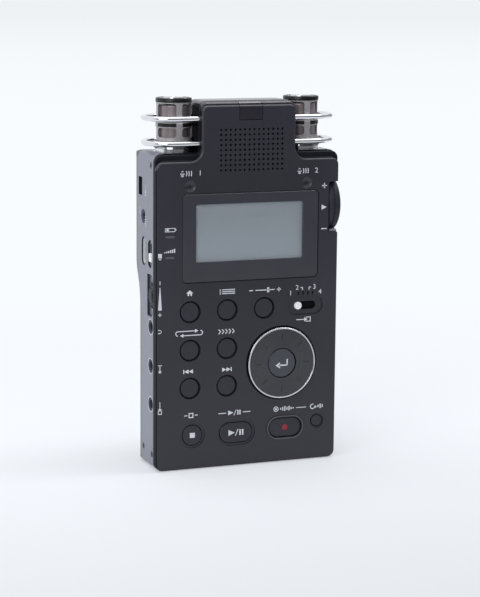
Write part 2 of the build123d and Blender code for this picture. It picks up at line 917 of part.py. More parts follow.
# Output dial: a web on the shaft, and a rim that reaches back round the body of the potentiometer
def thumb_dial(centre, radius, shaft, pot, depths, edge, grooves, groove):
    x, z = centre
    front, web_back, back = depths
    dial = rod_y(radius, x, z, (front, back))
    dial = chamfer([e for e in dial.edges() if e.geom_type == GeomType.CIRCLE], edge)
    dial = dial - rod_y(shaft + bore_gap, x, z, (front - 1, back + 1))
    dial = dial - rod_y(pot + pot_clearance, x, z, (web_back, back + 1))
    cuts = []
    for index in range(grooves):
        angle = 2 * math.pi * index / grooves
        cuts.append(rod_y(
            groove, x + radius * math.cos(angle), z + radius * math.sin(angle), (front - 1, back + 1)))
    return dial - cuts


def dial_pot(centre, shaft, pot, depths):
    x, z = centre
    front, web_back, back = depths
    body = rod_y(pot, x, z, (web_back + key_gap, main_board_depth))
    return body + rod_y(shaft, x, z, (front, web_back + key_gap + 0.1))


def dial_rod(radius, x_range):
    return rod_x(radius, dial_centre_depth, dial_centre_z, x_range)


def dial_ring(outer, inner, x_range):
    x0, x1 = x_range
    return dial_rod(outer, x_range) - dial_rod(inner, (x0 - 1, x1 + 1))


def make_input_dial():
    # A wheel on the right side, parted by a groove into an inner and an outer ring.
    dial = dial_rod(dial_radius, (dial_inner_x, dial_outer_x))
    dial = chamfer([e for e in dial.edges() if e.geom_type == GeomType.CIRCLE], dial_edge)
    split_x = dial_outer_x - dial_split
    half_split = dial_split_width / 2
    cuts = [dial_rod(dial_shaft + bore_gap, (dial_inner_x - 1, dial_outer_x - dial_cap))]
    cuts.append(dial_ring(
        dial_radius + 1, dial_radius - dial_split_depth, (split_x - half_split, split_x + half_split)))
    cuts.append(dial_ring(
        dial_inner_radius + half_split, dial_inner_radius - half_split,
        (dial_outer_x - dial_split_depth, dial_outer_x + 1)))
    for index in range(dial_groove_count):
        angle = 2 * math.pi * index / dial_groove_count
        cuts.append(rod_x(
            dial_groove_radius, dial_centre_depth + dial_radius * math.cos(angle),
            dial_centre_z + dial_radius * math.sin(angle), (dial_inner_x - 1, dial_outer_x + 1)))
    return dial - cuts


def make_input_pot():
    body = dial_rod(dial_pot_radius, (dial_pot_inner_x, dial_pot_outer_x))
    return body + dial_rod(dial_shaft, (dial_pot_outer_x - 0.1, dial_outer_x - dial_cap - slide_gap))


output_centre = (output_centre_x, output_centre_z)
output_depths = (output_depth, output_depth + output_web, output_depth + output_thickness)


def make_dial_pots():
    return Compound(children=[
        make_input_pot(),
        dial_pot(output_centre, output_shaft, output_pot_radius, output_depths)])


def dial_slot(centre, radius, depths):
    # The way through the wall for a dial's rim, a running gap larger than the dial all round.
    return rod_y(radius + key_gap, centre[0], centre[1], (depths[0] - key_gap, depths[2] + key_gap))


# Side frames
def screw_cut(place, head, shank, length):
    # Local frame: the head's outer face is z = 0 and the screw runs to -z.
    cut = Pos(0, 0, -screw_head_depth / 2 + 0.5) * Cylinder(head + slide_gap, screw_head_depth + 1)
    return place * (cut + Pos(0, 0, -length / 2) * Cylinder(shank + bore_gap, length))


def screw_solid(place, head, shank, length):
    body = Pos(0, 0, -screw_head_depth / 2) * Cylinder(head, screw_head_depth)
    body = body + Pos(0, 0, -length / 2) * Cylinder(shank, length)
    slot = Pos(0, 0, 0) * Box(head * 1.3, 0.35, 0.5)
    cross = Pos(0, 0, 0) * Box(0.35, head * 1.3, 0.5)
    return place * (body - slot - cross)


def side_screw_place(side, depth, z):
    return Plane(origin=(side * half_width, at_depth(depth), z), x_dir=(0, 1, 0), z_dir=(side, 0, 0)).location


def rear_screw_place(x, z, depth):
    return Plane(origin=(x, at_depth(depth), z), x_dir=(1, 0, 0), z_dir=(0, 1, 0)).location


def side_lug(side, depth, z):
    # A small block behind the frame wall that the side screw bites into.
    x0 = side * (half_width - wall)
    x1 = side * (half_width - screw_length - 0.6)
    return block(sorted((x0, x1)), (depth - 1.7, depth + 1.7), (z - 1.9, z + 1.9))


def side_frame(side):
    frame = shell & side_region(side)
    for depth, z in side_screws:
        frame = frame + side_lug(side, depth, z)
    for depth, z in side_screws:
        frame = frame - screw_cut(side_screw_place(side, depth, z), screw_head, screw_shank, screw_length)
    return frame


def make_left_side_frame():
    outside = (-case_width, -half_width + wall + 0.5)
    cuts = []
    for z in jack_heights:
        cuts.append(rod_x(jack_hole, jack_depth, z, outside))
    cuts.append(rod_x(remote_jack_hole, remote_jack_depth, remote_jack_z, outside))
    cuts.append(block(outside, (usb_near, usb_far), (usb_low, usb_high)))
    cuts.append(window_in_side(outside, (strap_near, strap_far), (strap_low, strap_high)))
    cuts.append(window_in_side(
        (-case_width, -half_width + hold_dish_depth), (hold_near, hold_far), (hold_low, hold_high)))
    cuts.append(block(
        outside, (hold_depth - hold_slot[1] / 2, hold_depth + hold_slot[1] / 2),
        (hold_middle - hold_slot[0] / 2, hold_middle + hold_slot[0] / 2)))
    scoop = Polygon(
        (at_depth(output_scoop_near), output_scoop_low), (at_depth(output_scoop_far), output_scoop_low),
        (at_depth(output_scoop_far), output_scoop_high), (at_depth(output_scoop_near), output_scoop_high),
        align=None)
    near = [v for v in scoop.vertices() if abs(v.X - at_depth(output_scoop_near)) < tiny]
    scoop = fillet(near, output_scoop_corner)
    cuts.append(side_slab(scoop, (-case_width, -half_width + output_scoop_depth)))
    cuts.append(dial_slot(output_centre, output_radius, output_depths))
    return side_frame(-1) - cuts


def window_in_side(x_range, depth_range, z_range):
    d0, d1 = depth_range
    z0, z1 = z_range
    face = Pos((at_depth(d0) + at_depth(d1)) / 2, (z0 + z1) / 2) * SlotOverall(
        z1 - z0, d1 - d0, rotation=90)
    return side_slab(face, x_range)


card_door_low = card_low - card_door_margin
card_door_high = card_low + card_width + card_door_margin


def make_right_side_frame():
    inside = (half_width - wall - 0.5, case_width)
    frame = side_frame(1)
    # A lip of the frame shows in the notch of the cover, below the input dial.
    frame = frame + block(
        (wrap_x, half_width - wall + inner_lap), (cover_depth, cover_depth + dial_lip),
        (notch_low - dial_lip_margin, dial_centre_z))
    way = dial_rod(dial_radius + key_gap, (wrap_x - 1, case_width))
    door_seat = block(
        (half_width - card_door_thickness - 0.1, case_width),
        (card_door_near - door_gap, card_door_far + door_gap),
        (card_door_low - door_gap, card_door_high + door_gap))
    mouth = block(
        inside, (card_door_near + card_ledge, card_door_far - card_ledge),
        (card_low - 0.6, card_low + card_width + 0.6))
    pin_z = (card_door_low - door_pin_length - door_gap - 0.2, card_door_high + door_pin_length + door_gap + 0.2)
    pin_hole = rod_z(
        door_pin + bore_gap, half_width - card_door_thickness / 2, card_door_far - card_door_thickness / 2, pin_z)
    return frame - [way, door_seat, mouth, pin_hole]


def make_card_door():
    x0 = half_width - card_door_thickness
    barrel_depth = card_door_far - card_door_thickness / 2
    axis_x = half_width - card_door_thickness / 2
    plate = block((x0, half_width), (card_door_near, barrel_depth), (card_door_low, card_door_high))
    near_edges = [e for e in plate.edges() if e.center().Y < at_depth(card_door_near) + tiny
                  and abs(e.center().X - half_width) < tiny]
    plate = fillet(near_edges, 0.5)
    barrel = rod_z(card_door_thickness / 2, axis_x, barrel_depth, (card_door_low, card_door_high))
    pin = rod_z(
        door_pin, axis_x, barrel_depth,
        (card_door_low - door_gap - door_pin_length, card_door_high + door_gap + door_pin_length))
    nail_near = card_door_near + card_nail_near
    nail_z = (card_door_low + card_door_high) / 2
    nail = block(
        (half_width - card_nail_depth, half_width + 1), (nail_near, nail_near + card_nail_width),
        (nail_z - card_nail / 2, nail_z + card_nail / 2))
    return plate + barrel + pin - nail


def make_card_slot():
    x_out = half_width - wall
    back_of_board = main_board_depth + main_board_thickness
    body = block(
        (x_out - card_body_length, x_out), (back_of_board, back_of_board + card_body_thickness),
        (card_low, card_low + card_width))
    middle = back_of_board + card_body_thickness / 2
    mouth = block(
        (x_out - card_mouth_depth, x_out + 1), (middle - card_mouth / 2, middle + card_mouth / 2),
        (card_low + 0.8, card_low + card_width - 0.8))
    return body - mouth


# Top block: the tower shell and the platforms that the microphones stand on
guard_far = 2 * mic_depth - guard_near


def make_top_block():
    cuts = []
    for side in (-1, 1):
        cuts.append(rod_z(1.5, side * mic_x, mic_depth, (shoulder_top - wall - 1, shoulder_top + 1)))
    return (shell & top_region) - cuts


# Microphones
def make_mic_collars():
    collars = []
    waist_z = (shoulder_top + collar_top) / 2 - 0.4
    for side in (-1, 1):
        profile = [
            (0, shoulder_top), (collar_waist + 0.5, shoulder_top), (collar_waist, shoulder_top + 0.5),
            (collar_waist, waist_z), (collar_radius, collar_top - 0.9), (collar_radius, collar_top - 0.3),
            (collar_radius - 0.3, collar_top), (0, collar_top)]
        face = Plane.XZ * Polygon(*profile, align=None)
        collar = Pos(side * mic_x, at_depth(mic_depth), 0) * revolve(face, Axis.Z)
        collar = collar - block(
            (-half_tower - 0.02, half_tower + 0.02), (0, case_depth), (shoulder_top - 1, collar_top + 1))
        collar = collar - rod_z(1.5, side * mic_x, mic_depth, (shoulder_top - 1, collar_top + 1))
        collars.append(collar)
    return Compound(children=collars)


cage_top = mic_top - mic_cap_height


def make_mic_cages():
    cages = []
    for side in (-1, 1):
        tube = Cylinder(mic_radius, cage_top - collar_top) - Cylinder(mic_radius - mic_wall, cage_top)
        tube = Pos(0, 0, (cage_top + collar_top) / 2) * tube
        band = Cylinder(mic_radius + 1, band_high - band_low) - Cylinder(
            mic_radius - band_groove, band_high - band_low + 1)
        cuts = [Pos(0, 0, (band_low + band_high) / 2) * band]
        post_angle = math.degrees(cage_post_width / mic_radius)
        span = 360 / cage_window_count - post_angle
        width = 2 * mic_radius * math.sin(math.radians(span / 2))
        for z0, z1 in (upper_window, lower_window):
            for index in range(cage_window_count):
                turn = 45 + 360 / cage_window_count * index
                face = Plane.YZ * RectangleRounded(width, z1 - z0, 1.2)
                cut = extrude(Pos(capsule_radius / 2, 0, (z0 + z1) / 2) * face, amount=mic_radius)
                cuts.append(Rot(0, 0, turn) * cut)
        cages.append(Pos(side * mic_x, at_depth(mic_depth), 0) * (tube - cuts))
    return Compound(children=cages)


def make_mic_caps_and_bands():
    pieces = []
    for side in (-1, 1):
        centre = Pos(side * mic_x, at_depth(mic_depth), 0)
        disc = Pos(0, 0, (cage_top + mic_top) / 2) * Cylinder(mic_cap_radius, mic_cap_height)
        top_edge = [e for e in disc.edges() if e.center().Z > mic_top - tiny]
        disc = chamfer(top_edge, 0.3)
        spigot = Pos(0, 0, cage_top - 0.3) * Cylinder(mic_radius - mic_wall - 0.05, 0.8)
        pieces.append(centre * (disc + spigot))
        height = band_high - band_low
        band = Cylinder(band_radius, height) - Cylinder(mic_radius - band_groove, height + 1)
        pieces.append(centre * Pos(0, 0, (band_low + band_high) / 2) * band)
    return Compound(children=pieces)


def make_mic_capsules():
    capsules = []
    for side in (-1, 1):
        body = Pos(0, 0, (collar_top + capsule_top) / 2) * Cylinder(capsule_radius, capsule_top - collar_top)
        edge = [e for e in body.edges() if e.center().Z > capsule_top - tiny]
        body = fillet(edge, 0.8)
        capsules.append(Pos(side * mic_x, at_depth(mic_depth), 0) * body)
    return Compound(children=capsules)


def make_mic_guards():
    loops = []
    bend = mic_depth - guard_near
    tip = guard_reach - guard_wire
    for side in (-1, 1):
        start_x = side * half_tower
        bend_x = side * (tip - bend)
        for z in guard_heights:
            near = (start_x, at_depth(guard_near), z)
            near_bend = (bend_x, at_depth(guard_near), z)
            far_bend = (bend_x, at_depth(guard_far), z)
            far = (start_x, at_depth(guard_far), z)
            outer = (side * tip, at_depth(mic_depth), z)
            path = Wire([Line(near, near_bend), ThreePointArc(near_bend, outer, far_bend), Line(far_bend, far)])
            profile = Plane(origin=near, z_dir=(side, 0, 0)) * Circle(guard_wire)
            loops.append(sweep(profile, path=path))
    return Compound(children=loops)


# Sockets
def audio_jack(z):
    x_out = -half_width + wall
    body = block(
        (x_out, x_out + jack_length), (jack_near, main_board_depth), (z - jack_half_height, z + jack_half_height))
    return body - rod_x(jack_bore, jack_depth, z, (x_out - 1, x_out + jack_bore_length))


def make_remote_jack():
    x_out = -half_width + wall
    body = block(
        (x_out, x_out + remote_jack_length),
        (main_board_depth + main_board_thickness, remote_jack_depth + remote_jack_half),
        (remote_jack_z - remote_jack_half, remote_jack_z + remote_jack_half))
    return body - rod_x(
        remote_jack_bore, remote_jack_depth, remote_jack_z, (x_out - 1, x_out + remote_jack_length - 1.2))


def make_usb_socket():
    x_out = -half_width + wall
    shell_body = block(
        (x_out, x_out + usb_length), (usb_near - 0.2, usb_far + 0.2), (usb_low - 0.2, usb_high + 0.2))
    mouth = block(
        (x_out - 1, x_out + usb_mouth_depth), (usb_near + usb_shell, usb_far - usb_shell),
        (usb_low + usb_shell, usb_high - usb_shell))
    middle = (usb_near + usb_far) / 2
    tongue = block(
        (x_out + 0.8, x_out + usb_mouth_depth + 0.1), (middle - usb_tongue / 2, middle + usb_tongue / 2),
        (usb_low + 1.6, usb_high - 1.6))
    riser = block(
        (x_out + 1.5, x_out + usb_length), (main_board_depth + main_board_thickness, usb_near),
        (usb_low + 0.5, usb_high - 0.5))
    return shell_body - mouth + tongue + riser


# Base with its sockets
def make_bottom_block():
    base = shell & bottom_region
    cuts = []
    for side in (-1, 1):
        base = base + rod_z(
            xlr_bore + xlr_well_wall, side * xlr_x, xlr_depth, (wall - 0.1, xlr_well_top))
    for side in (-1, 1):
        cuts.append(rod_z(xlr_bore, side * xlr_x, xlr_depth, (-1, xlr_well_top - 1.2)))
        half_x = latch_size[0] / 2 + key_gap
        half_latch = latch_size[1] / 2 + key_gap
        x = side * latch_x
        depths = (xlr_depth - half_latch, xlr_depth + half_latch)
        cuts.append(block((x - half_x, x + half_x), depths, (-1, wall + 1)))
    cuts.append(rod_z(power_body + bore_gap, 0, power_depth, (-1, wall + 1)))
    return base - cuts


def make_xlr_inserts():
    inserts = []
    for side in (-1, 1):
        x = side * xlr_x
        insert = rod_z(xlr_insert_radius, x, xlr_depth, (xlr_insert_low, xlr_well_top - 1.2))
        edge = [e for e in insert.edges() if e.center().Z < xlr_insert_low + tiny]
        insert = chamfer(edge, 0.5)
        for angle in (30, 150, 270):
            pin_x = x + xlr_pin_circle * math.cos(math.radians(angle))
            pin_depth = xlr_depth + xlr_pin_circle * math.sin(math.radians(angle))
            insert = insert - rod_z(xlr_pin_bore, pin_x, pin_depth, (0, xlr_insert_low + xlr_pin_depth))
        inserts.append(insert)
    return Compound(children=inserts)


def xlr_latch(side):
    x = side * latch_x
    half_x = latch_size[0] / 2
    half_d = latch_size[1] / 2
    tab = block((x - half_x, x + half_x), (xlr_depth - half_d, xlr_depth + half_d), (latch_recess, wall + 1.4))
    low_edges = [e for e in tab.edges() if e.center().Z < latch_recess + tiny]
    tab = fillet(low_edges, 0.4)
    flange = block(
        (x - half_x - latch_flange, x + half_x + latch_flange),
        (xlr_depth - half_d - latch_flange, xlr_depth + half_d + latch_flange),
        (wall + seat_gap, wall + 1.4))
    return tab + flange


def make_dc_socket():
    body = rod_z(power_body, 0, power_depth, (power_recess, power_length))
    bore = rod_z(power_bore, 0, power_depth, (-1, power_bore_length))
    pin = rod_z(power_pin, 0, power_depth, (power_recess + 1, power_bore_length + 0.5))
    flange = rod_z(power_body + power_flange, 0, power_depth, (wall, wall + power_flange_thickness))
    return body + flange - bore + pin


# Rear cover
bay_middle = (bay_low + bay_high) / 2
door_low = bay_low - door_overlap
door_high = bay_high + door_overlap
door_half = bay_half_width + door_overlap
door_axis_depth = case_depth - door_thickness / 2
door_axis_z = door_low + door_thickness / 2


def make_rear_cover():
    cover = shell - ahead_of_seam - bottom_region - tower_region
    back_of_board = main_board_depth + main_board_thickness
    tray = block(
        (-bay_half_width - bay_wall, bay_half_width + bay_wall),
        (bay_floor_depth - bay_wall, case_depth - wall + 0.1), (bay_low - bay_wall, bay_high + bay_wall))
    cover = cover + (tray & inner_body)
    strap_inner = -half_width + wall + strap_width
    channel_body = block(
        (-half_width + wall, strap_inner + strap_wall), (strap_near - strap_floor, case_depth),
        (strap_low - strap_wall, strap_high + strap_wall))
    cover = cover + (channel_body & inner_body)
    for x, z in rear_screws:
        depth = rear_surface_depth(z)
        near = back_of_board if depth == lower_case_depth else dial_pot_back + pot_clearance
        cover = cover + rod_y(rear_post_radius, x, z, (near, depth - wall + 0.3))
    cuts = [block(
        (-bay_half_width, bay_half_width), (bay_floor_depth, case_depth + beyond), (bay_low, bay_high))]
    cuts.append(block(
        (-door_half - door_gap, door_half + door_gap),
        (case_depth - door_thickness - seat_gap, case_depth + beyond),
        (door_low - door_gap, door_high + door_gap)))
    cuts.append(rod_x(
        door_pin + bore_gap, door_axis_depth, door_axis_z,
        (-door_half - door_gap - door_pin_length - 0.2, door_half + door_gap + door_pin_length + 0.2)))
    cuts.append(block(
        (-half_width + wall, strap_inner), (strap_near, case_depth + beyond), (strap_low, strap_high)))
    cuts.append(rod_y(tripod_hole, 0, tripod_z, (lower_case_depth - wall - 0.5, case_depth + beyond)))
    for side in (-1, 1):
        half_x = rear_window[0] / 2
        half_z = rear_window[1] / 2
        x = side * rear_switch_x
        cuts.append(block(
            (x - half_x, x + half_x), (lower_case_depth - wall - 0.5, case_depth),
            (rear_switch_z - half_z, rear_switch_z + half_z)))
    for x, z in rear_screws:
        depth = rear_surface_depth(z) - rear_screw_pocket
        cuts.append(rod_y(rear_screw_head + slide_gap, x, z, (depth, case_depth + beyond)))
        cuts.append(screw_cut(rear_screw_place(x, z, depth), rear_screw_head, rear_screw_shank, rear_screw_length))
    return cover - cuts


def rear_surface_depth(z):
    # Depth of the flat rear face at a height, below or above the step.
    return lower_case_depth if z < (step_low + step_high) / 2 else case_depth


def make_case_screws():
    screws = []
    for side in (-1, 1):
        for depth, z in side_screws:
            screws.append(screw_solid(side_screw_place(side, depth, z), screw_head, screw_shank, screw_length))
    for x, z in rear_screws:
        place = rear_screw_place(x, z, rear_surface_depth(z) - rear_screw_pocket)
        screws.append(screw_solid(place, rear_screw_head, rear_screw_shank, rear_screw_length))
    return Compound(children=screws)


def make_battery_door():
    plate = block(
        (-door_half, door_half), (case_depth - door_thickness, case_depth), (door_axis_z, door_high))
    outer_edges = [e for e in plate.edges() if abs(e.center().Y - at_depth(case_depth)) < tiny
                   and e.center().Z > door_high - tiny]
    plate = fillet(outer_edges, 0.5)
    barrel = rod_x(door_thickness / 2, door_axis_depth, door_axis_z, (-door_half, door_half))
    pin = rod_x(
        door_pin, door_axis_depth, door_axis_z,
        (-door_half - door_gap - door_pin_length, door_half + door_gap + door_pin_length))
    grip = []
    for index in range(5):
        z = door_high - 4.0 - 1.5 * index
        grip.append(block((-6, 6), (case_depth - 0.4, case_depth + 1), (z - 0.35, z + 0.35)))
    return plate + barrel + pin - grip


cell_centre_depth = bay_floor_depth + cell_radius + cell_gap


def make_battery_cells():
    cells = []
    half = cell_length / 2
    for index, z in enumerate((bay_middle - cell_radius - cell_gap, bay_middle + cell_radius + cell_gap)):
        way = 1 if index == 0 else -1
        body = rod_x(cell_radius, cell_centre_depth, z, sorted((way * -half, way * (half - cell_nub_length))))
        nub = rod_x(
            cell_nub_radius, cell_centre_depth, z, sorted((way * (half - cell_nub_length - 0.1), way * half)))
        cells.append(body + nub)
    return Compound(children=cells)


def make_battery_contacts():
    contacts = []
    half = cell_length / 2
    for side in (-1, 1):
        x0 = side * (bay_half_width - contact_thickness)
        x1 = side * bay_half_width
        plate = block(
            sorted((x0, x1)), (cell_centre_depth - contact_half_width, cell_centre_depth + contact_half_width),
            (bay_low + contact_margin, bay_high - contact_margin))
        spring_z = bay_middle + side * (cell_radius + cell_gap)
        spring = rod_x(spring_radius, cell_centre_depth, spring_z, sorted((side * (half + 0.1), x0)))
        spring = spring - rod_x(spring_hollow, cell_centre_depth, spring_z, sorted((side * half, x0)))
        contacts.append(plate + spring)
    return Compound(children=contacts)


def make_battery_pack():
    front = main_board_depth + main_board_thickness
    return slab(
        rounded_face((pack_left, pack_right), (pack_low, pack_high), pack_corner), (front, front + pack_thickness))


def make_tripod_insert():
    back = lower_case_depth - wall
    body = rod_y(tripod_outer, 0, tripod_z, (back - tripod_bore_length, back))
    flange = rod_y(tripod_flange, 0, tripod_z, (back - tripod_flange_thickness, back))
    return body + flange - rod_y(tripod_bore, 0, tripod_z, (0, case_depth))


# Casings and fixed pieces
save("front_cover", make_front_cover())
save("left_side_frame", make_left_side_frame())
save("right_side_frame", make_right_side_frame())
save("top_block", make_top_block())
save("bottom_block", make_bottom_block())
save("rear_cover", make_rear_cover())
save("display_lens", make_display_lens())
save("display_module", make_display_module())
save("remote_window", make_remote_window())
save("light_pipes", make_light_pipes())
save("surface_mics", make_surface_mics())
save("speaker", make_speaker())
save("front_board", make_front_board())
save("main_board", make_main_board())
save("jog_encoder", make_jog_encoder())
save("switch_bodies", make_switch_bodies())
save("dial_pots", make_dial_pots())
save("headphone_jack", audio_jack(jack_heights[0]))
save("line_jacks", Compound(children=[audio_jack(jack_heights[1]), audio_jack(jack_heights[2])]))
save("remote_jack", make_remote_jack())
save("usb_socket", make_usb_socket())
save("mic_collars", make_mic_collars())
save("mic_cages", make_mic_cages())
save("mic_caps_and_bands", make_mic_caps_and_bands())
save("mic_capsules", make_mic_capsules())
save("mic_guards", make_mic_guards())
save("xlr_inserts", make_xlr_inserts())
save("dc_socket", make_dc_socket())
save("card_slot", make_card_slot())
save("battery_cells", make_battery_cells())
save("battery_contacts", make_battery_contacts())
save("battery_pack", make_battery_pack())
save("tripod_insert", make_tripod_insert())
save("case_screws", make_case_screws())

# Moving pieces
for key_name, key_centre in key_positions().items():
    save(key_name, round_key(key_centre, key_radius, key_recess))
save("stop_button", round_key(stop_centre, stop_radius, transport_recess))
save("play_button", oblong_key(play_centre, play_size, transport_recess))
save("record_button", oblong_key(record_centre, record_size, transport_recess))
save("auto_button", round_key(auto_centre, auto_radius, transport_recess))
save("enter_button", make_enter_button())
save("jog_wheel", make_jog_wheel())
save("jog_ring", make_jog_ring())
save("input_switch_knob", slide_knob(
    selector_knob_radius, selector_plate, selector_knob_proud, cover_wall, selector_place, round_knob=True))
save("input_dial", make_input_dial())
save("output_dial", thumb_dial(
    output_centre, output_radius, output_shaft, output_pot_radius, output_depths, output_edge,
    output_groove_count, output_groove_radius))
save("hold_knob", slide_knob(hold_knob, hold_plate, hold_knob_proud, wall, hold_place))
save("battery_door", make_battery_door())
save("card_door", make_card_door())
save("xlr_latch_left", xlr_latch(-1))
save("xlr_latch_right", xlr_latch(1))
for side, name in ((-1, "gain_switch_knob"), (1, "low_cut_knob")):
    save(name, slide_knob(rear_knob, rear_plate, -rear_knob_sink, wall, rear_place(side, rear_travel / 2)))
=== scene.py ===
import json
import math

import bmesh
import bpy
from mathutils import Matrix, Vector

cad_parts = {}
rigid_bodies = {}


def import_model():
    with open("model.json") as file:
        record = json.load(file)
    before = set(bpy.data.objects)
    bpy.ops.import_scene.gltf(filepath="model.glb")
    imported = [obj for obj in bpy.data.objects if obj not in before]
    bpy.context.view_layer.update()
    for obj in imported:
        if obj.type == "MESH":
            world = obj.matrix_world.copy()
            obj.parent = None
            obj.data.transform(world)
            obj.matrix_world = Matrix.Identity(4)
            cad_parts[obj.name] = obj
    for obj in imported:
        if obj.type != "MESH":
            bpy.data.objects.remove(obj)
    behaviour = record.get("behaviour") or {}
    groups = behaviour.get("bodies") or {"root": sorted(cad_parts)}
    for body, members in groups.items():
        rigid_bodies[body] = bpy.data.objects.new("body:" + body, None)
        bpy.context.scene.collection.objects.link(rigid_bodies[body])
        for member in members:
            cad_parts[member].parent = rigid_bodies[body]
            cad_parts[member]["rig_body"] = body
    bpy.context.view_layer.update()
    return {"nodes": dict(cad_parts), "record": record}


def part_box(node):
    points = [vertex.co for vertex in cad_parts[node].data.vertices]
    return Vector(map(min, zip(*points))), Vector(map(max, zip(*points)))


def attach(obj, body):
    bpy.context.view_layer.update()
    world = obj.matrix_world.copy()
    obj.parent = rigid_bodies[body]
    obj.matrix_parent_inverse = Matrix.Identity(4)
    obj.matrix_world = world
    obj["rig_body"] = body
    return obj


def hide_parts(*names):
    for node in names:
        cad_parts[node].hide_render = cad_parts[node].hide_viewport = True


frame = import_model()

bl_info = {
    "name": "Pocket Recorder Looks",
    "version": (1, 0, 0),
    "blender": (4, 5, 0),
    "location": "View3D > Sidebar > Recorder",
    "description": "Dresses a hand-held audio recorder: finishes, printed marks, display, microphones, stage",
    "category": "Object",
}

MM = 0.001
MATERIALS = {}

# Places read from the frame
lens_low, lens_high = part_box("display_lens")
front = lens_low.y
left_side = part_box("left_side_frame")[0].x
capsules_low, capsules_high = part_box("mic_capsules")
caps_low, caps_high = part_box("mic_caps_and_bands")
cages_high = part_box("mic_cages")[1]

# Places on the front, in millimetres across and up
dial_marks_x = 33.5
dial_plus_z, dial_arrow_z, dial_minus_z = 116.3, 107.3, 98.3
selector_bracket = (25.7, 74.0)
first_tick, tick_pitch = (22.4, 71.6), 2.13
edge_label_x = -38.4
ROUND_KEYS = (
    "home_button", "menu_button", "playback_button", "loop_button", "quick_button", "back_button",
    "forward_button")
ROUND_KEY_HOLE = 4.3
JOG_HOLE = 15.3
RECORD_KEY_SIZE = (14.4, 8.0)

# Sizes of the case, in millimetres
half_depth = 17.5
half_width = 40.0
half_tower = 20.4
corner_radius = 3.0
case_base = 0.3
plate_shoulder = 127.8
rim_shoulder = 130.5
neck_radius = 2.5

# Openings of the left side: depth behind the front plane and height, in millimetres
JACKS = ((7.15, 59.8), (7.15, 43.5), (7.15, 27.5))
REMOTE_JACK = (16.3, 104.4)
STRAP_SLOT = (15.85, 90.15)
HOLD_SLOT = (7.95, 89.85)
USB_OPENING = ((18.03, 112.83), (22.57, 112.83), (22.57, 120.27), (18.03, 120.27))
DIAL_SCOOP = (
    (4.1, 67.3), (5.0, 65.1), (7.2, 64.15), (11.35, 64.15), (11.35, 81.35), (7.2, 81.35), (5.0, 80.4),
    (4.1, 78.2))

# From a shape spun round an upright axis to one that faces the front, or the left side
TO_FRONT = Matrix.Rotation(math.radians(90), 4, "X")
TO_LEFT = Matrix.Rotation(math.radians(-90), 4, "Y")


def middle(node):
    """The middle of a node's box."""
    low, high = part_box(node)
    return (low + high) / 2


def centre_mm(node):
    """The middle of a node's box across and up, in millimetres."""
    spot = middle(node) / MM
    return spot.x, spot.z


def box_mm(node):
    """The lowest and highest corners of a node's box, in millimetres."""
    return (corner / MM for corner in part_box(node))


def mic_centres():
    """The two axes of the upright microphones, at height zero."""
    radius = (capsules_high.y - capsules_low.y) / 2
    depth = (capsules_high.y + capsules_low.y) / 2
    return [Vector((side * (capsules_high.x - radius), depth, 0.0)) for side in (-1, 1)]


def way_at(degrees):
    """Across and up of a step of one at an angle."""
    return math.cos(math.radians(degrees)), math.sin(math.radians(degrees))


def srgb(red, green, blue):
    """A colour written as 0 to 255, as linear light."""
    linear = []
    for part in (red, green, blue):
        share = part / 255
        linear.append(share / 12.92 if share <= 0.04045 else ((share + 0.055) / 1.055) ** 2.4)
    return tuple(linear)


# Sizes and colours that a user would change
def colour_property(name, description, default):
    return bpy.props.FloatVectorProperty(
        name=name, description=description, subtype="COLOR", size=3, min=0.0, max=1.0, default=default)


def length_property(name, description, default):
    return bpy.props.FloatProperty(
        name=name, description=description, subtype="DISTANCE", unit="LENGTH", min=0.0, default=default)


class RecorderFinish(bpy.types.PropertyGroup):
    cover: colour_property("Front cover", "Charcoal of the front cover", srgb(40, 39, 47))
    case: colour_property("Case", "Black of the tower, back and base", srgb(24, 24, 28))
    side_metal: colour_property("Side frames", "Grey of the metal side frames", srgb(140, 143, 155))
    key: colour_property("Keys", "Dark grey of the keys", srgb(42, 42, 50))
    enter_key: colour_property("Centre key", "Blue-grey of the key in the jog wheel", srgb(49, 51, 60))
    print_white: colour_property("Print", "White of the printed marks", srgb(206, 208, 214))
    record_red: colour_property("Record dot", "Red of the record mark", srgb(146, 44, 52))
    display: colour_property("Display", "Grey of the unlit display", srgb(150, 159, 166))
    chrome: colour_property("Chrome", "Bright plating of guards and collars", srgb(226, 227, 231))
    mic_metal: colour_property("Microphones", "Grey-brown of the microphone cages", srgb(172, 167, 170))


class RecorderSizes(bpy.types.PropertyGroup):
    print_height: length_property("Print height", "How far the printed marks stand up", 0.03 * MM)
    view_inset: length_property("View inset", "From the lens's left side to the display's view", 5.8 * MM)
    view_width: length_property("View width", "Width of the display's view", 47.1 * MM)
    view_rise: length_property("View rise", "From the lens's lower side to the display's view", 8.3 * MM)
    view_height: length_property("View height", "Height of the display's view", 23.7 * MM)


class StageSetting(bpy.types.PropertyGroup):
    floor_colour: colour_property("Floor", "Pale floor", srgb(232, 235, 240))
    backdrop_colour: colour_property("Backdrop", "Pale backdrop", srgb(249, 252, 255))
    floor_size: length_property("Floor size", "Half the width of the floor", 40.0)
    lens: bpy.props.FloatProperty(name="Lens", description="Focal length on a 36 mm sensor", default=114.56)
    camera_place: bpy.props.FloatVectorProperty(
        name="Camera", description="Where the camera stands", subtype="TRANSLATION", unit="LENGTH",
        default=(-0.28237, -0.73566, 0.20268))
    camera_turn: bpy.props.FloatVectorProperty(
        name="Camera turn", description="Yaw, pitch and roll of the camera", subtype="EULER",
        default=(math.radians(21.211), math.radians(9.714), math.radians(0.4648)))


def sizes():
    return bpy.context.scene.recorder_sizes


def view_box():
    """Left, right, low and high side of the display's view."""
    left = lens_low.x + sizes().view_inset
    low = lens_low.z + sizes().view_rise
    return left, left + sizes().view_width, low, low + sizes().view_height


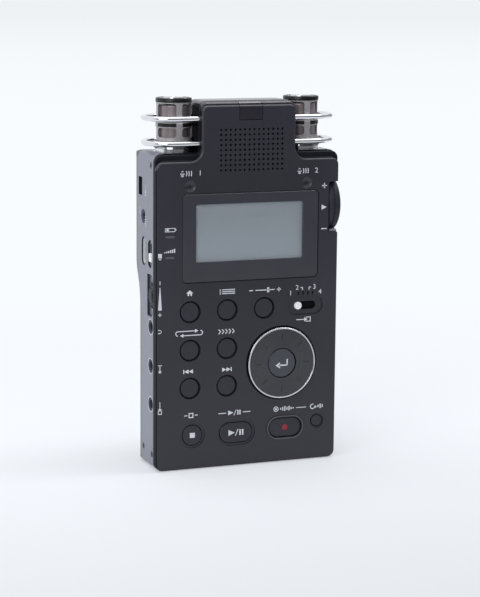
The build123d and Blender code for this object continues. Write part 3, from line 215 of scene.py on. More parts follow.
# Node helpers
def feed(tree, inputs, values):
    """Sets each named input, or links it where its value comes from another node."""
    for socket, value in values.items():
        if isinstance(value, bpy.types.NodeSocket):
            tree.links.new(value, inputs[socket])
        else:
            inputs[socket].default_value = value


def placed(tree, kind, values, **settings):
    """The outputs of a new node with its settings and its inputs."""
    node = tree.nodes.new("ShaderNode" + kind)
    for name, value in settings.items():
        setattr(node, name, value)
    feed(tree, node.inputs, values)
    return node.outputs


def object_place(tree):
    return placed(tree, "TexCoord", {})["Object"]


def noise(tree, vector, scale, detail):
    return placed(tree, "TexNoise", {"Vector": vector, "Scale": scale, "Detail": detail})["Fac"]


def ramp(tree, value, low, high, start=0.0, end=1.0, course="SMOOTHSTEP"):
    """A factor that goes from one value to another between two places."""
    values = {"Value": value, "From Min": low, "From Max": high, "To Min": start, "To Max": end}
    return placed(tree, "MapRange", values, interpolation_type=course)["Result"]


def spread(tree, value, low, high):
    """A noise drawn out over a range of factors."""
    return ramp(tree, value, 0.3, 0.7, low, high, "LINEAR")


def worked_out(tree, operation, *values):
    return placed(tree, "Math", dict(enumerate(values)), operation=operation)["Value"]


def product(tree, first, second):
    return worked_out(tree, "MULTIPLY", first, second)


def larger(tree, first, second):
    return worked_out(tree, "MAXIMUM", first, second)


def dimmed(tree, dark, share):
    """1 where a factor is 0, falling to 1 less a share where it is 1."""
    return worked_out(tree, "MULTIPLY_ADD", dark, -share, 1.0)


def scaled(tree, vector, factor):
    return placed(tree, "VectorMath", {0: vector, "Scale": factor}, operation="SCALE")["Vector"]


# Node groups shared by the materials
def new_group(name, inputs, outputs):
    """A node group, with the sockets that come in and the sockets that go out."""
    tree = bpy.data.node_groups.new(name, "ShaderNodeTree")
    for socket, kind, value in inputs:
        made = tree.interface.new_socket(name=socket, in_out="INPUT", socket_type="NodeSocket" + kind)
        made.default_value = value
    for socket, kind in outputs:
        tree.interface.new_socket(name=socket, in_out="OUTPUT", socket_type="NodeSocket" + kind)
    return tree, tree.nodes.new("NodeGroupInput").outputs, tree.nodes.new("NodeGroupOutput").inputs


def moulded_grain_group():
    """Fine spark-eroded grain with a slow random change of tone, and painted light that makes the upper sides
    and the tower paler where asked.
    """
    tree, given, result = new_group(
        "moulded_grain",
        [("Colour", "Color", (0.1, 0.1, 0.1, 1)), ("Grain", "Float", 9000.0), ("Roughness", "Float", 0.5),
         ("Painted Side Light", "Float", 0.0)],
        [("Colour", "Color"), ("Roughness", "Float"), ("Height", "Float")])
    cloud_scale = 60.0
    sides_from, sides_to = 20 * MM, 38 * MM
    upper_from, upper_to = 45 * MM, 75 * MM
    tower_from, tower_to, tower_share = 105 * MM, 145 * MM, 0.8
    place = object_place(tree)
    grain = noise(tree, place, given["Grain"], 2.0)
    cloud = spread(tree, noise(tree, place, cloud_scale, 3.0), 0.94, 1.06)
    parts = placed(tree, "SeparateXYZ", {"Vector": place})
    # Painted light: paler towards the upper outer sides and up the tower, where the lamps light the case more
    # brightly
    outer = ramp(tree, worked_out(tree, "ABSOLUTE", parts["X"]), sides_from, sides_to)
    upper = ramp(tree, parts["Z"], upper_from, upper_to)
    tower = ramp(tree, parts["Z"], tower_from, tower_to, 0.0, tower_share)
    pale = larger(tree, product(tree, outer, upper), tower)
    lift = worked_out(tree, "MULTIPLY_ADD", pale, given["Painted Side Light"], 1.0)
    feed(tree, result, {
        "Colour": scaled(tree, given["Colour"], product(tree, cloud, lift)),
        "Roughness": product(tree, given["Roughness"], cloud),
        "Height": grain})


def brushed_lines_group():
    """Fine lines drawn out along one axis, for brushed and turned metal."""
    tree, given, result = new_group(
        "brushed_lines", [("Stretch", "Vector", (1.0, 1.0, 40.0)), ("Roughness", "Float", 0.3)],
        [("Roughness", "Float"), ("Height", "Float")])
    line_scale = 5000.0
    drawn = placed(tree, "VectorMath", {0: object_place(tree), 1: given["Stretch"]}, operation="DIVIDE")
    lines = noise(tree, drawn["Vector"], line_scale, 3.0)
    feed(tree, result, {
        "Roughness": product(tree, given["Roughness"], spread(tree, lines, 0.75, 1.25)), "Height": lines})


def turned_grooves_group():
    """Fine rings turned round an axis along Y: the normal tips along the radius, and more across than up."""
    tree, given, result = new_group(
        "turned_grooves", [("Centre", "Vector", (0.0, 0.0, 0.0)), ("Tilt", "Float", 1.0)],
        [("Normal", "Vector")])
    ring_scale = 9000.0
    tip_shares = (1.6, 0.0, 0.25)

    def vector_math(operation, *values, output="Vector"):
        return placed(tree, "VectorMath", dict(enumerate(values)), operation=operation)[output]

    away = vector_math("SUBTRACT", object_place(tree), given["Centre"])
    flat = vector_math("MULTIPLY", away, (1.0, 0.0, 1.0))
    radius = vector_math("LENGTH", flat, output="Value")
    rings = placed(tree, "TexNoise", {"W": radius, "Scale": ring_scale}, noise_dimensions="1D")["Fac"]
    tilt = product(tree, worked_out(tree, "SUBTRACT", rings, 0.5), given["Tilt"])
    swung = vector_math("MULTIPLY", vector_math("NORMALIZE", flat), tip_shares)
    turned = placed(
        tree, "VectorTransform", {"Vector": scaled(tree, swung, tilt)},
        vector_type="VECTOR", convert_from="OBJECT", convert_to="WORLD")["Vector"]
    whole = vector_math("ADD", placed(tree, "NewGeometry", {})["Normal"], turned)
    feed(tree, result, {"Normal": vector_math("NORMALIZE", whole)})


# Materials
def new_material(name):
    """The node tree and the shader's inputs of a new material, which is kept by its name."""
    MATERIALS[name] = bpy.data.materials.new(name)
    MATERIALS[name].use_nodes = True
    tree = MATERIALS[name].node_tree
    return tree, tree.nodes["Principled BSDF"].inputs


def effect(tree, name, values):
    return placed(tree, "Group", values, node_tree=bpy.data.node_groups[name])


def bump(tree, height, distance, strength):
    return placed(tree, "Bump", {"Strength": strength, "Distance": distance, "Height": height})["Normal"]


def plastic(name, colour, roughness, grain=9000.0, strength=0.3, level=0.5, coat=0.0, painted_side_light=0.0):
    """Moulded plastic with a fine grain, and painted light on its upper sides and tower where asked."""
    grain_depth = 0.02 * MM
    tree, shader = new_material(name)
    grained = effect(tree, "moulded_grain", {
        "Colour": (*colour, 1), "Grain": grain, "Roughness": roughness, "Painted Side Light": painted_side_light})
    feed(tree, shader, {
        "Base Color": grained["Colour"], "Roughness": grained["Roughness"], "Specular IOR Level": level,
        "Coat Weight": coat, "Coat Roughness": 0.08,
        "Normal": bump(tree, grained["Height"], grain_depth, strength)})


def metal(name, colour, roughness, stretch=(1, 1, 1), metallic=1.0):
    """Plated, brushed or painted metal with fine lines."""
    line_depth, strength = 0.004 * MM, 0.15
    tree, shader = new_material(name)
    lined = effect(tree, "brushed_lines", {"Stretch": stretch, "Roughness": roughness})
    feed(tree, shader, {
        "Base Color": (*colour, 1), "Metallic": metallic, "Roughness": lined["Roughness"],
        "Normal": bump(tree, lined["Height"], line_depth, strength)})


def turned_plastic(name, colour, roughness, centre, tilt, level):
    """Plastic with fine rings turned into its face."""
    tree, shader = new_material(name)
    grooved = effect(tree, "turned_grooves", {"Centre": centre, "Tilt": tilt})
    feed(tree, shader, {
        "Base Color": (*colour, 1), "Roughness": roughness, "Specular IOR Level": level,
        "Normal": grooved["Normal"]})


def clear_pane(name, tint, alpha):
    """A thin clear window: mostly clear, with the gloss of its surface."""
    tree, shader = new_material(name)
    feed(tree, shader, {"Base Color": (*tint, 1), "Roughness": 0.05, "Alpha": alpha})


def display_face(name, colour):
    """The unlit display: paler towards its lower side, with painted shade along its right side and painted
    light near its other sides that lifts the real shade of its recess.
    """
    tree, shader = new_material(name)
    left, right, low, high = view_box()
    soft = 0.8 * MM
    parts = placed(tree, "SeparateXYZ", {"Vector": object_place(tree)})
    across, up = parts["X"], parts["Z"]
    factor = ramp(tree, up, low, high, 1.05, 0.9)
    # Painted shade along the right side; painted light near the high, low and left sides, lifting the real
    # shade of the recess
    for value, near, far, shade in (
            (up, high - 5 * soft, high, 1.12), (across, right - 1.5 * soft, right + soft, 0.65),
            (up, low + 3 * soft, low, 1.08), (across, left + 5 * soft, left, 1.14)):
        factor = product(tree, factor, ramp(tree, value, near, far, 1.0, shade))
    feed(tree, shader, {
        "Base Color": scaled(tree, colour, factor), "Roughness": 0.4, "Specular IOR Level": 0.3})


def make_materials(colours):
    moulded_grain_group()
    brushed_lines_group()
    turned_grooves_group()
    # The cover carries painted light on its upper sides and its tower
    plastic("cover_plastic", colours.cover, 0.3, strength=0.15, level=0.45, painted_side_light=0.35)
    plastic("case_plastic", colours.case, 0.2, strength=0.12, level=0.6)
    plastic("key_rubber", colours.key, 0.45, grain=7000.0, level=0.4)
    plastic("enter_plastic", colours.enter_key, 0.28, strength=0.1, coat=0.4)
    turned_plastic("jog_plastic", srgb(27, 27, 35), 0.3, middle("jog_wheel"), tilt=2.4, level=0.85)
    plastic("dial_plastic", srgb(40, 41, 50), 0.45, level=0.3)
    plastic("latch_plastic", srgb(30, 30, 33), 0.45)
    plastic("inner_plastic", srgb(14, 14, 16), 0.7, level=0.1)
    plastic("white_plastic", srgb(236, 236, 236), 0.3, strength=0.1, coat=0.3)
    plastic("remote_plastic", srgb(40, 38, 46), 0.14, strength=0.03)
    plastic("light_pipe", srgb(86, 86, 93), 0.3, strength=0.05)
    # Painted shade: the dark skin over the cover's rim
    plastic("rim_painted_shade", srgb(22, 22, 29), 0.5, strength=0.05, level=0.12)
    plastic("scoop_plastic", srgb(48, 52, 64), 0.5, strength=0.1, level=0.3)
    # Painted highlight: the pale line round the record key
    plastic("painted_highlight_plastic", srgb(80, 82, 88), 0.3, strength=0.05)
    plastic("bushing_plastic", srgb(30, 30, 36), 0.5, strength=0.1, level=0.25)
    plastic("speaker_cone", srgb(10, 10, 11), 0.7, level=0.2)
    plastic("board_laminate", srgb(16, 74, 46), 0.35, strength=0.1)
    plastic("pack_wrap", srgb(70, 78, 92), 0.3, strength=0.05)
    plastic("display_border", srgb(54, 54, 61), 0.2, strength=0.03)
    plastic("print_white", colours.print_white, 0.5, strength=0.05, level=0.3)
    plastic("print_red", colours.record_red, 0.45, strength=0.05, level=0.3)
    plastic("mic_dark", srgb(20, 20, 23), 0.35, strength=0.05, level=0.35)
    display_face("display_glass", colours.display)
    metal("frame_metal", colours.side_metal, 0.42, stretch=(1, 1, 30), metallic=0.7)
    metal("guard_chrome", colours.chrome, 0.08)
    metal("mic_chrome", colours.chrome, 0.14, stretch=(1, 1, 0.1))
    metal("jog_chrome", srgb(212, 213, 218), 0.16)
    metal("mic_black", colours.mic_metal, 0.32, stretch=(1, 1, 12), metallic=0.4)
    metal("mic_cap", srgb(196, 197, 202), 0.18)
    metal("capsule_metal", srgb(136, 126, 128), 0.35, stretch=(1, 1, 0.2), metallic=0.5)
    metal("socket_steel", srgb(196, 196, 194), 0.25)
    metal("knob_metal", srgb(226, 227, 230), 0.25)
    metal("cell_wrap", srgb(66, 78, 104), 0.35, metallic=0.4)
    metal("insert_brass", srgb(200, 172, 110), 0.3)
    metal("screw_steel", srgb(74, 75, 80), 0.35, metallic=0.9)
    clear_pane("lens_window", tint=(0.3, 0.3, 0.32), alpha=0.1)


# Modelling helpers
def set_sharp(mesh):
    """Marks edges sharp where their faces turn by more than an angle, so that the rest shades smooth."""
    work = bmesh.new()
    work.from_mesh(mesh)
    limit = math.radians(32.0)
    for edge in work.edges:
        edge.smooth = len(edge.link_faces) == 2 and edge.calc_face_angle(0.0) < limit
    for face in work.faces:
        face.smooth = True
    work.to_mesh(mesh)
    work.free()


def merged_copy(node):
    """A node's mesh with its loose triangles joined and its flat faces made whole."""
    work = bmesh.new()
    work.from_mesh(frame["nodes"][node].data)
    bmesh.ops.remove_doubles(work, verts=work.verts, dist=0.002 * MM)
    bmesh.ops.dissolve_limit(
        work, angle_limit=math.radians(1.0), use_dissolve_boundaries=False, verts=work.verts,
        edges=work.edges)
    return work


def new_object(name, data):
    made = bpy.data.objects.new(name, data)
    bpy.context.scene.collection.objects.link(made)
    return made


def new_mesh(name, work):
    """A mesh from a bmesh, which is freed."""
    mesh = bpy.data.meshes.new(name)
    work.to_mesh(mesh)
    work.free()
    return mesh


def add_piece(name, work, material, body, replaced=()):
    """A mesh object from a bmesh, with its finish, the body that it rides on and the nodes it stands for."""
    mesh = new_mesh(name, work)
    set_sharp(mesh)
    mesh.materials.append(MATERIALS[material])
    piece = new_object(name, mesh)
    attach(piece, body)
    if replaced:
        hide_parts(*replaced)


def body_of_node(node):
    return frame["nodes"][node]["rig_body"]


def turned_piece(centre, profile, turn=Matrix(), steps=64, start=0.0, sweep=360.0):
    """A profile of (radius, height) in millimetres spun round an upright axis, then turned and placed."""
    work = bmesh.new()
    way = Matrix.Rotation(math.radians(start), 4, "Z")
    ring = [work.verts.new(way @ Vector((radius * MM, 0.0, height * MM))) for radius, height in profile]
    edges = [work.edges.new(pair) for pair in zip(ring, ring[1:])]
    whole = sweep >= 360.0
    if not whole:
        edges.append(work.edges.new((ring[-1], ring[0])))
    bmesh.ops.spin(
        work, geom=ring + edges, cent=(0, 0, 0), axis=(0, 0, 1), angle=math.radians(sweep), steps=steps,
        use_merge=whole)
    if not whole:
        bmesh.ops.holes_fill(work, edges=work.edges, sides=len(profile) + 1)
    bmesh.ops.remove_doubles(work, verts=work.verts, dist=0.0005 * MM)
    bmesh.ops.recalc_face_normals(work, faces=work.faces)
    bmesh.ops.transform(work, matrix=Matrix.Translation(centre) @ turn, verts=work.verts)
    return work


def block(low, high, edge=0.0):
    """A box between two corners in millimetres, with round edges where asked."""
    work = bmesh.new()
    bmesh.ops.create_cube(work, size=1.0)
    low, high = Vector(low) * MM, Vector(high) * MM
    place = Matrix.Translation((low + high) / 2) @ Matrix.Diagonal((*(high - low), 1.0))
    bmesh.ops.transform(work, matrix=place, verts=work.verts)
    if edge:
        bmesh.ops.bevel(
            work, geom=work.edges[:], offset=edge * MM, offset_type="OFFSET", segments=3, profile=0.5,
            affect="EDGES", clamp_overlap=True, material=-1)
    return work


def lining(path, near, far, closed=True):
    """A thin lining of an opening in the left side: a path of (depth, height) between two places across."""
    thickness = 0.06 * MM
    work = bmesh.new()
    rims = [[work.verts.new(Vector((across, depth - half_depth, height)) * MM) for depth, height in path]
            for across in (near, far)]
    count = len(path)
    for index in range(count if closed else count - 1):
        after = (index + 1) % count
        work.faces.new((rims[0][index], rims[0][after], rims[1][after], rims[1][index]))
    bmesh.ops.recalc_face_normals(work, faces=work.faces)
    bmesh.ops.solidify(work, geom=work.faces[:], thickness=thickness)
    return work


def corner_path(centre, radius, start, end):
    """Points of a round corner in X and Z, each with its outward way."""
    steps = 10
    path = []
    for step in range(steps + 1):
        way = way_at(start + (end - start) * step / steps)
        path.append(((centre[0] + radius * way[0], centre[1] + radius * way[1]), way))
    return path


def swept_skin(path, profile):
    """A thin skin on an edge of the case: a closed profile of (outward, depth) swept along a path."""
    work = bmesh.new()
    rings = [
        [work.verts.new(Vector((spot[0] + way[0] * out, depth - half_depth, spot[1] + way[1] * out)) * MM)
         for out, depth in profile]
        for spot, way in path]
    for ring, after in zip(rings, rings[1:]):
        for index in range(len(profile)):
            work.faces.new((ring[index - 1], ring[index], after[index], after[index - 1]))
    work.faces.new(rings[0])
    work.faces.new(rings[-1])
    bmesh.ops.recalc_face_normals(work, faces=work.faces)
    return work


def oblong_path(centre, width, height, start=0.0, sweep=360.0):
    """Points (depth, height) round an upright oblong, from an angle over a sweep."""
    whole_steps = 32
    radius = width / 2
    rise = height / 2 - radius
    whole = sweep >= 360
    count = max(2, int(whole_steps * sweep / 360))
    path = []
    for step in range(count if whole else count + 1):
        across, up = way_at(start + sweep * (step + 0.5 * whole) / count)
        lift = rise if up > 0 else -rise
        path.append((centre[0] + radius * across, centre[1] + lift + radius * up))
    return path


def joined(parts):
    """Several bmeshes as one."""
    whole = bmesh.new()
    for part in parts:
        mesh = new_mesh("part", part)
        whole.from_mesh(mesh)
        bpy.data.meshes.remove(mesh)
    return whole


# Flat drawings for the printed marks
class Pen:
    """Draws flat shapes in millimetres on one plane."""

    def __init__(self):
        self.work = bmesh.new()
        self.centre = (0.0, 0.0)
        self.scale = 1.0

    def at(self, across, up, scale=1.0):
        self.centre = (across, up)
        self.scale = scale
        return self

    def point(self, across, up):
        return Vector((self.centre[0] + across * self.scale, self.centre[1] + up * self.scale, 0.0)) * MM

    def shape(self, *corners):
        self.work.faces.new([self.work.verts.new(self.point(*corner)) for corner in corners])

    def bar(self, across, up, width, height):
        low, high = up - height / 2, up + height / 2
        left, right = across - width / 2, across + width / 2
        self.shape((left, low), (right, low), (right, high), (left, high))

    def stroke(self, start, end, width):
        start, end = Vector(start), Vector(end)
        way = end - start
        side = Vector((-way.y, way.x)).normalized() * (width / 2)
        self.shape(start - side, end - side, end + side, start + side)

    def disc(self, across, up, radius):
        bmesh.ops.create_circle(
            self.work, cap_ends=True, segments=28, radius=radius * self.scale * MM,
            matrix=Matrix.Translation(self.point(across, up)))

    def arc(self, across, up, radius, width, start=0.0, sweep=360.0):
        centre = self.point(across, up)
        way = Vector((*way_at(start), 0.0))
        near = self.work.verts.new(centre + way * (radius - width / 2) * self.scale * MM)
        far = self.work.verts.new(centre + way * (radius + width / 2) * self.scale * MM)
        edge = self.work.edges.new((near, far))
        bmesh.ops.spin(
            self.work, geom=[near, far, edge], cent=centre, axis=(0, 0, 1), angle=math.radians(sweep),
            steps=max(6, int(abs(sweep) / 11)), use_merge=abs(sweep) >= 360)

    def arrow(self, tip, way, length, half):
        step = Vector(way).normalized()
        side = Vector((-step.y, step.x)) * half
        base = Vector(tip) - step * length
        self.shape(tip, base + side, base - side)

    def frame_box(self, across, up, width, height, line):
        for side in (-1, 1):
            self.bar(across + side * (width - line) / 2, up, line, height)
            self.bar(across, up + side * (height - line) / 2, width - 2 * line, line)

    def numeral(self, digit, height):
        curve = bpy.data.curves.new("numeral", "FONT")
        curve.body = digit
        curve.size = height * MM / 0.7
        curve.align_x = "CENTER"
        curve.align_y = "CENTER"
        holder = bpy.data.objects.new("numeral", curve)
        mesh = bpy.data.meshes.new_from_object(holder)
        mesh.transform(Matrix.Translation(self.point(0, 0)))
        self.work.from_mesh(mesh)
        bpy.data.objects.remove(holder)
        bpy.data.curves.remove(curve)
        bpy.data.meshes.remove(mesh)


def front_plane(depth=0.0):
    """From the drawing plane to the front of the case, at a depth behind the front plane."""
    return Matrix(((1, 0, 0, 0), (0, 0, -1, front + depth), (0, 1, 0, 0), (0, 0, 0, 1)))


def raise_marks(name, pen, plane, material="print_white", body="root"):
    """Gives a drawing its thin height and lays it on its plane."""
    work = pen.work
    for face in work.faces:
        if face.normal.z < 0:
            face.normal_flip()
    made = bmesh.ops.extrude_face_region(work, geom=work.faces[:])
    raised = [item for item in made["geom"] if isinstance(item, bmesh.types.BMVert)]
    bmesh.ops.translate(work, verts=raised, vec=(0, 0, sizes().print_height))
    bmesh.ops.transform(work, matrix=plane, verts=work.verts)
    bmesh.ops.recalc_face_normals(work, faces=work.faces)
    add_piece(name, work, material, body)


# Pictograms, in millimetres from the middle of each
def draw_house(pen):
    pen.shape((-1.5, 0.0), (1.5, 0.0), (0.0, 1.3))
    pen.bar(-0.62, -0.55, 0.62, 1.1)
    pen.bar(0.62, -0.55, 0.62, 1.1)
    pen.bar(0.0, -0.15, 0.62, 0.3)


def draw_list(pen):
    for row in (-0.8, 0.0, 0.8):
        pen.bar(-3.1, row, 0.6, 0.36)
        pen.bar(0.5, row, 5.6, 0.36)


def draw_slider(pen):
    pen.bar(-6.2, 0.0, 1.7, 0.4)
    pen.bar(0.0, 0.0, 8.6, 0.36)
    pen.bar(1.4, 0.0, 0.9, 2.1)
    draw_plus(pen, 6.2, 1.7, 0.4)


def draw_loop(pen):
    for side in (-1, 1):
        pen.arc(side * 4.9, 0.0, 0.9, 0.38, -90 * side, 180)
        pen.bar(side * 1.2, -side * 0.9, 7.4, 0.38)
        pen.arrow((side * -4.0, -side * 0.9), (-side, 0), 1.5, 0.8)


def draw_chevrons(pen):
    for shift in (-3.0, -1.5, 0.0, 1.5, 3.0):
        for side in (1, -1):
            pen.stroke((shift - 0.45, side * 0.95), (shift + 0.45, side * -0.04), 0.4)


def draw_skip(pen, way):
    pen.bar(way * 2.3, 0.0, 0.42, 1.75)
    for tip in (2.1, 0.2):
        pen.arrow((way * tip, 0.0), (way, 0), 1.9, 0.86)


def draw_stop_outline(pen):
    pen.frame_box(0.0, 0.0, 2.1, 2.1, 0.42)
    for side in (-1, 1):
        pen.bar(side * 2.3, 0.0, 1.4, 0.36)


def draw_play_pause(pen):
    pen.arrow((-0.5, 0.0), (1, 0), 2.3, 1.05)
    pen.stroke((-0.25, -1.15), (0.75, 1.15), 0.3)
    for shift in (1.5, 2.45):
        pen.bar(shift, 0.0, 0.56, 2.05)


def draw_play_label(pen):
    draw_play_pause(pen)
    for side in (-1, 1):
        pen.bar(side * 5.4, 0.0, 3.4, 0.34)


def draw_levels(pen, start, heights):
    """A row of upright bars, as a level or a sound wave."""
    for index, height in enumerate(heights):
        pen.bar(start + 0.95 * index, 0.0, 0.5, height)


def draw_wave(pen):
    draw_levels(pen, -2.9, (0.6, 1.1, 1.6, 0.9, 1.4, 0.7))


def draw_record_label(pen):
    pen.arc(-3.7, 0.0, 0.95, 0.36)
    pen.disc(-3.7, 0.0, 0.45)
    draw_levels(pen, -1.6, (0.8, 1.5, 2.1, 1.2, 1.9, 1.0, 0.6))


def draw_auto(pen):
    pen.arc(-1.7, 0.0, 0.95, 0.36, 60, 285)
    pen.arrow((-0.6, 0.45), (-0.35, 1), 1.05, 0.62)
    draw_levels(pen, 0.9, (1.0, 2.0, 1.3))


def draw_into(pen):
    pen.bar(-1.5, 0.0, 3.6, 0.36)
    pen.arrow((1.8, 0.0), (1, 0), 1.5, 0.95)
    pen.bar(3.0, 0.0, 0.4, 2.1)
    for side in (-1, 1):
        pen.bar(1.9, side * 0.87, 1.8, 0.36)


def draw_microphone(pen):
    pen.bar(0.0, 0.4, 0.8, 0.75)
    pen.disc(0.0, 0.75, 0.4)
    pen.disc(0.0, 0.05, 0.4)
    pen.arc(0.0, 0.15, 0.78, 0.24, 180, 180)
    pen.bar(0.0, -0.83, 0.26, 0.4)
    pen.bar(0.0, -1.1, 1.1, 0.24)


def draw_microphone_label(pen, digit):
    draw_microphone(pen.at(pen.centre[0] - 4.9, pen.centre[1]))
    for radius, half in ((1.9, 32), (2.9, 21), (3.9, 15.5)):
        pen.arc(0.0, 0.0, radius, 0.34, -half, 2 * half)
    pen.at(pen.centre[0] + 7.6, pen.centre[1]).numeral(digit, 2.1)


def draw_battery(pen):
    pen.frame_box(-0.5, 0.0, 4.4, 1.6, 0.28)
    pen.bar(1.95, 0.0, 0.3, 0.7)
    pen.bar(-1.6, 0.0, 1.1, 0.8)


def draw_level(pen):
    for index, height in enumerate((0.4, 0.65, 0.9, 1.15, 1.4, 1.6)):
        pen.bar(-2.1 + 0.84 * index, height / 2 - 0.8, 0.5, height)


def draw_padlock(pen):
    pen.bar(-0.45, 0.0, 1.7, 1.5)
    pen.arc(0.5, 0.0, 0.5, 0.26, -90, 180)
    for side in (1, -1):
        pen.bar(0.42, side * 0.5, 0.4, 0.26)


def draw_plus(pen, across, size, line):
    pen.bar(across, 0.0, size, line)
    pen.bar(across, 0.0, line, size)


def draw_wedge(pen):
    pen.shape((-5.2, -0.15), (4.6, -0.85), (4.6, 0.85), (-5.2, 0.15))
    draw_plus(pen, 6.6, 1.6, 0.34)
    pen.bar(-7.2, 0.0, 1.6, 0.34)


def draw_headphones(pen):
    pen.arc(0.0, -0.1, 0.8, 0.26, 0, 180)
    for side in (-1, 1):
        pen.bar(side * 0.78, -0.5, 0.45, 0.85)


def draw_out(pen):
    pen.bar(-0.6, 0.0, 2.0, 0.28)
    pen.arrow((1.5, 0.0), (1, 0), 1.1, 0.7)
    pen.bar(-1.8, 0.0, 0.3, 1.5)


def draw_return(pen):
    pen.bar(0.35, -0.75, 2.9, 0.42)
    pen.bar(1.75, 0.2, 0.42, 1.9)
    pen.arrow((-2.1, -0.75), (-1, 0), 1.5, 1.0)


# Marks in millimetres: by their shift from a key, by their place across and up, by their height and scale at
# the left edge of the front, and by their height, place back and scale on the left side
KEY_LABELS = (
    ("home_button", draw_house, (-0.2, 7.8)), ("menu_button", draw_list, (0.0, 7.7)),
    ("playback_button", draw_slider, (0.3, 7.5)), ("loop_button", draw_loop, (-0.4, 7.3)),
    ("quick_button", draw_chevrons, (-0.3, 7.1)),
    ("back_button", lambda pen: draw_skip(pen, -1), (-0.4, 7.1)),
    ("forward_button", lambda pen: draw_skip(pen, 1), (-0.4, 6.9)),
    ("stop_button", draw_stop_outline, (-0.7, 8.5)), ("play_button", draw_play_label, (-0.8, 8.6)),
    ("record_button", draw_record_label, (-0.4, 8.0)), ("auto_button", draw_auto, (-0.3, 6.2)))
FRONT_LABELS = (
    (draw_into, (24.9, 60.45)), (draw_battery, (-33.6, 100.4)), (draw_level, (-34.3, 91.9)))
EDGE_LABELS = (
    (draw_padlock, 89.5, 1.05), (draw_wedge, 72.1, 0.95), (draw_headphones, 58.9, 0.85),
    (draw_out, 43.0, 1.05), (draw_into, 27.0, 0.8))
SIDE_LABELS = (
    (draw_into, 115.2, 3.9, 0.7), (draw_wave, 102.4, 3.9, 1.0), (draw_out, 106.0, -3.6, 0.8))
MIC_LABELS = (((-24.0, 123.0), "1"), ((27.1, 122.7), "2"))
SELECTOR_NUMERALS = (("1", (18.9, 71.8)), ("2", (21.8, 74.0)), ("3", (29.6, 74.0)), ("4", (32.2, 71.8)))


class RECORDER_OT_materials(bpy.types.Operator):
    """Make the finishes of the recorder"""
    bl_idname = "recorder.materials"
    bl_label = "Finishes"

    def execute(self, context):
        make_materials(context.scene.recorder_finish)
        for entry in frame["record"]["subparts"]:
            mesh = frame["nodes"][entry["node"]].data
            mesh.materials.clear()
            mesh.materials.append(MATERIALS[entry["material_slot"]])
        return {"FINISHED"}


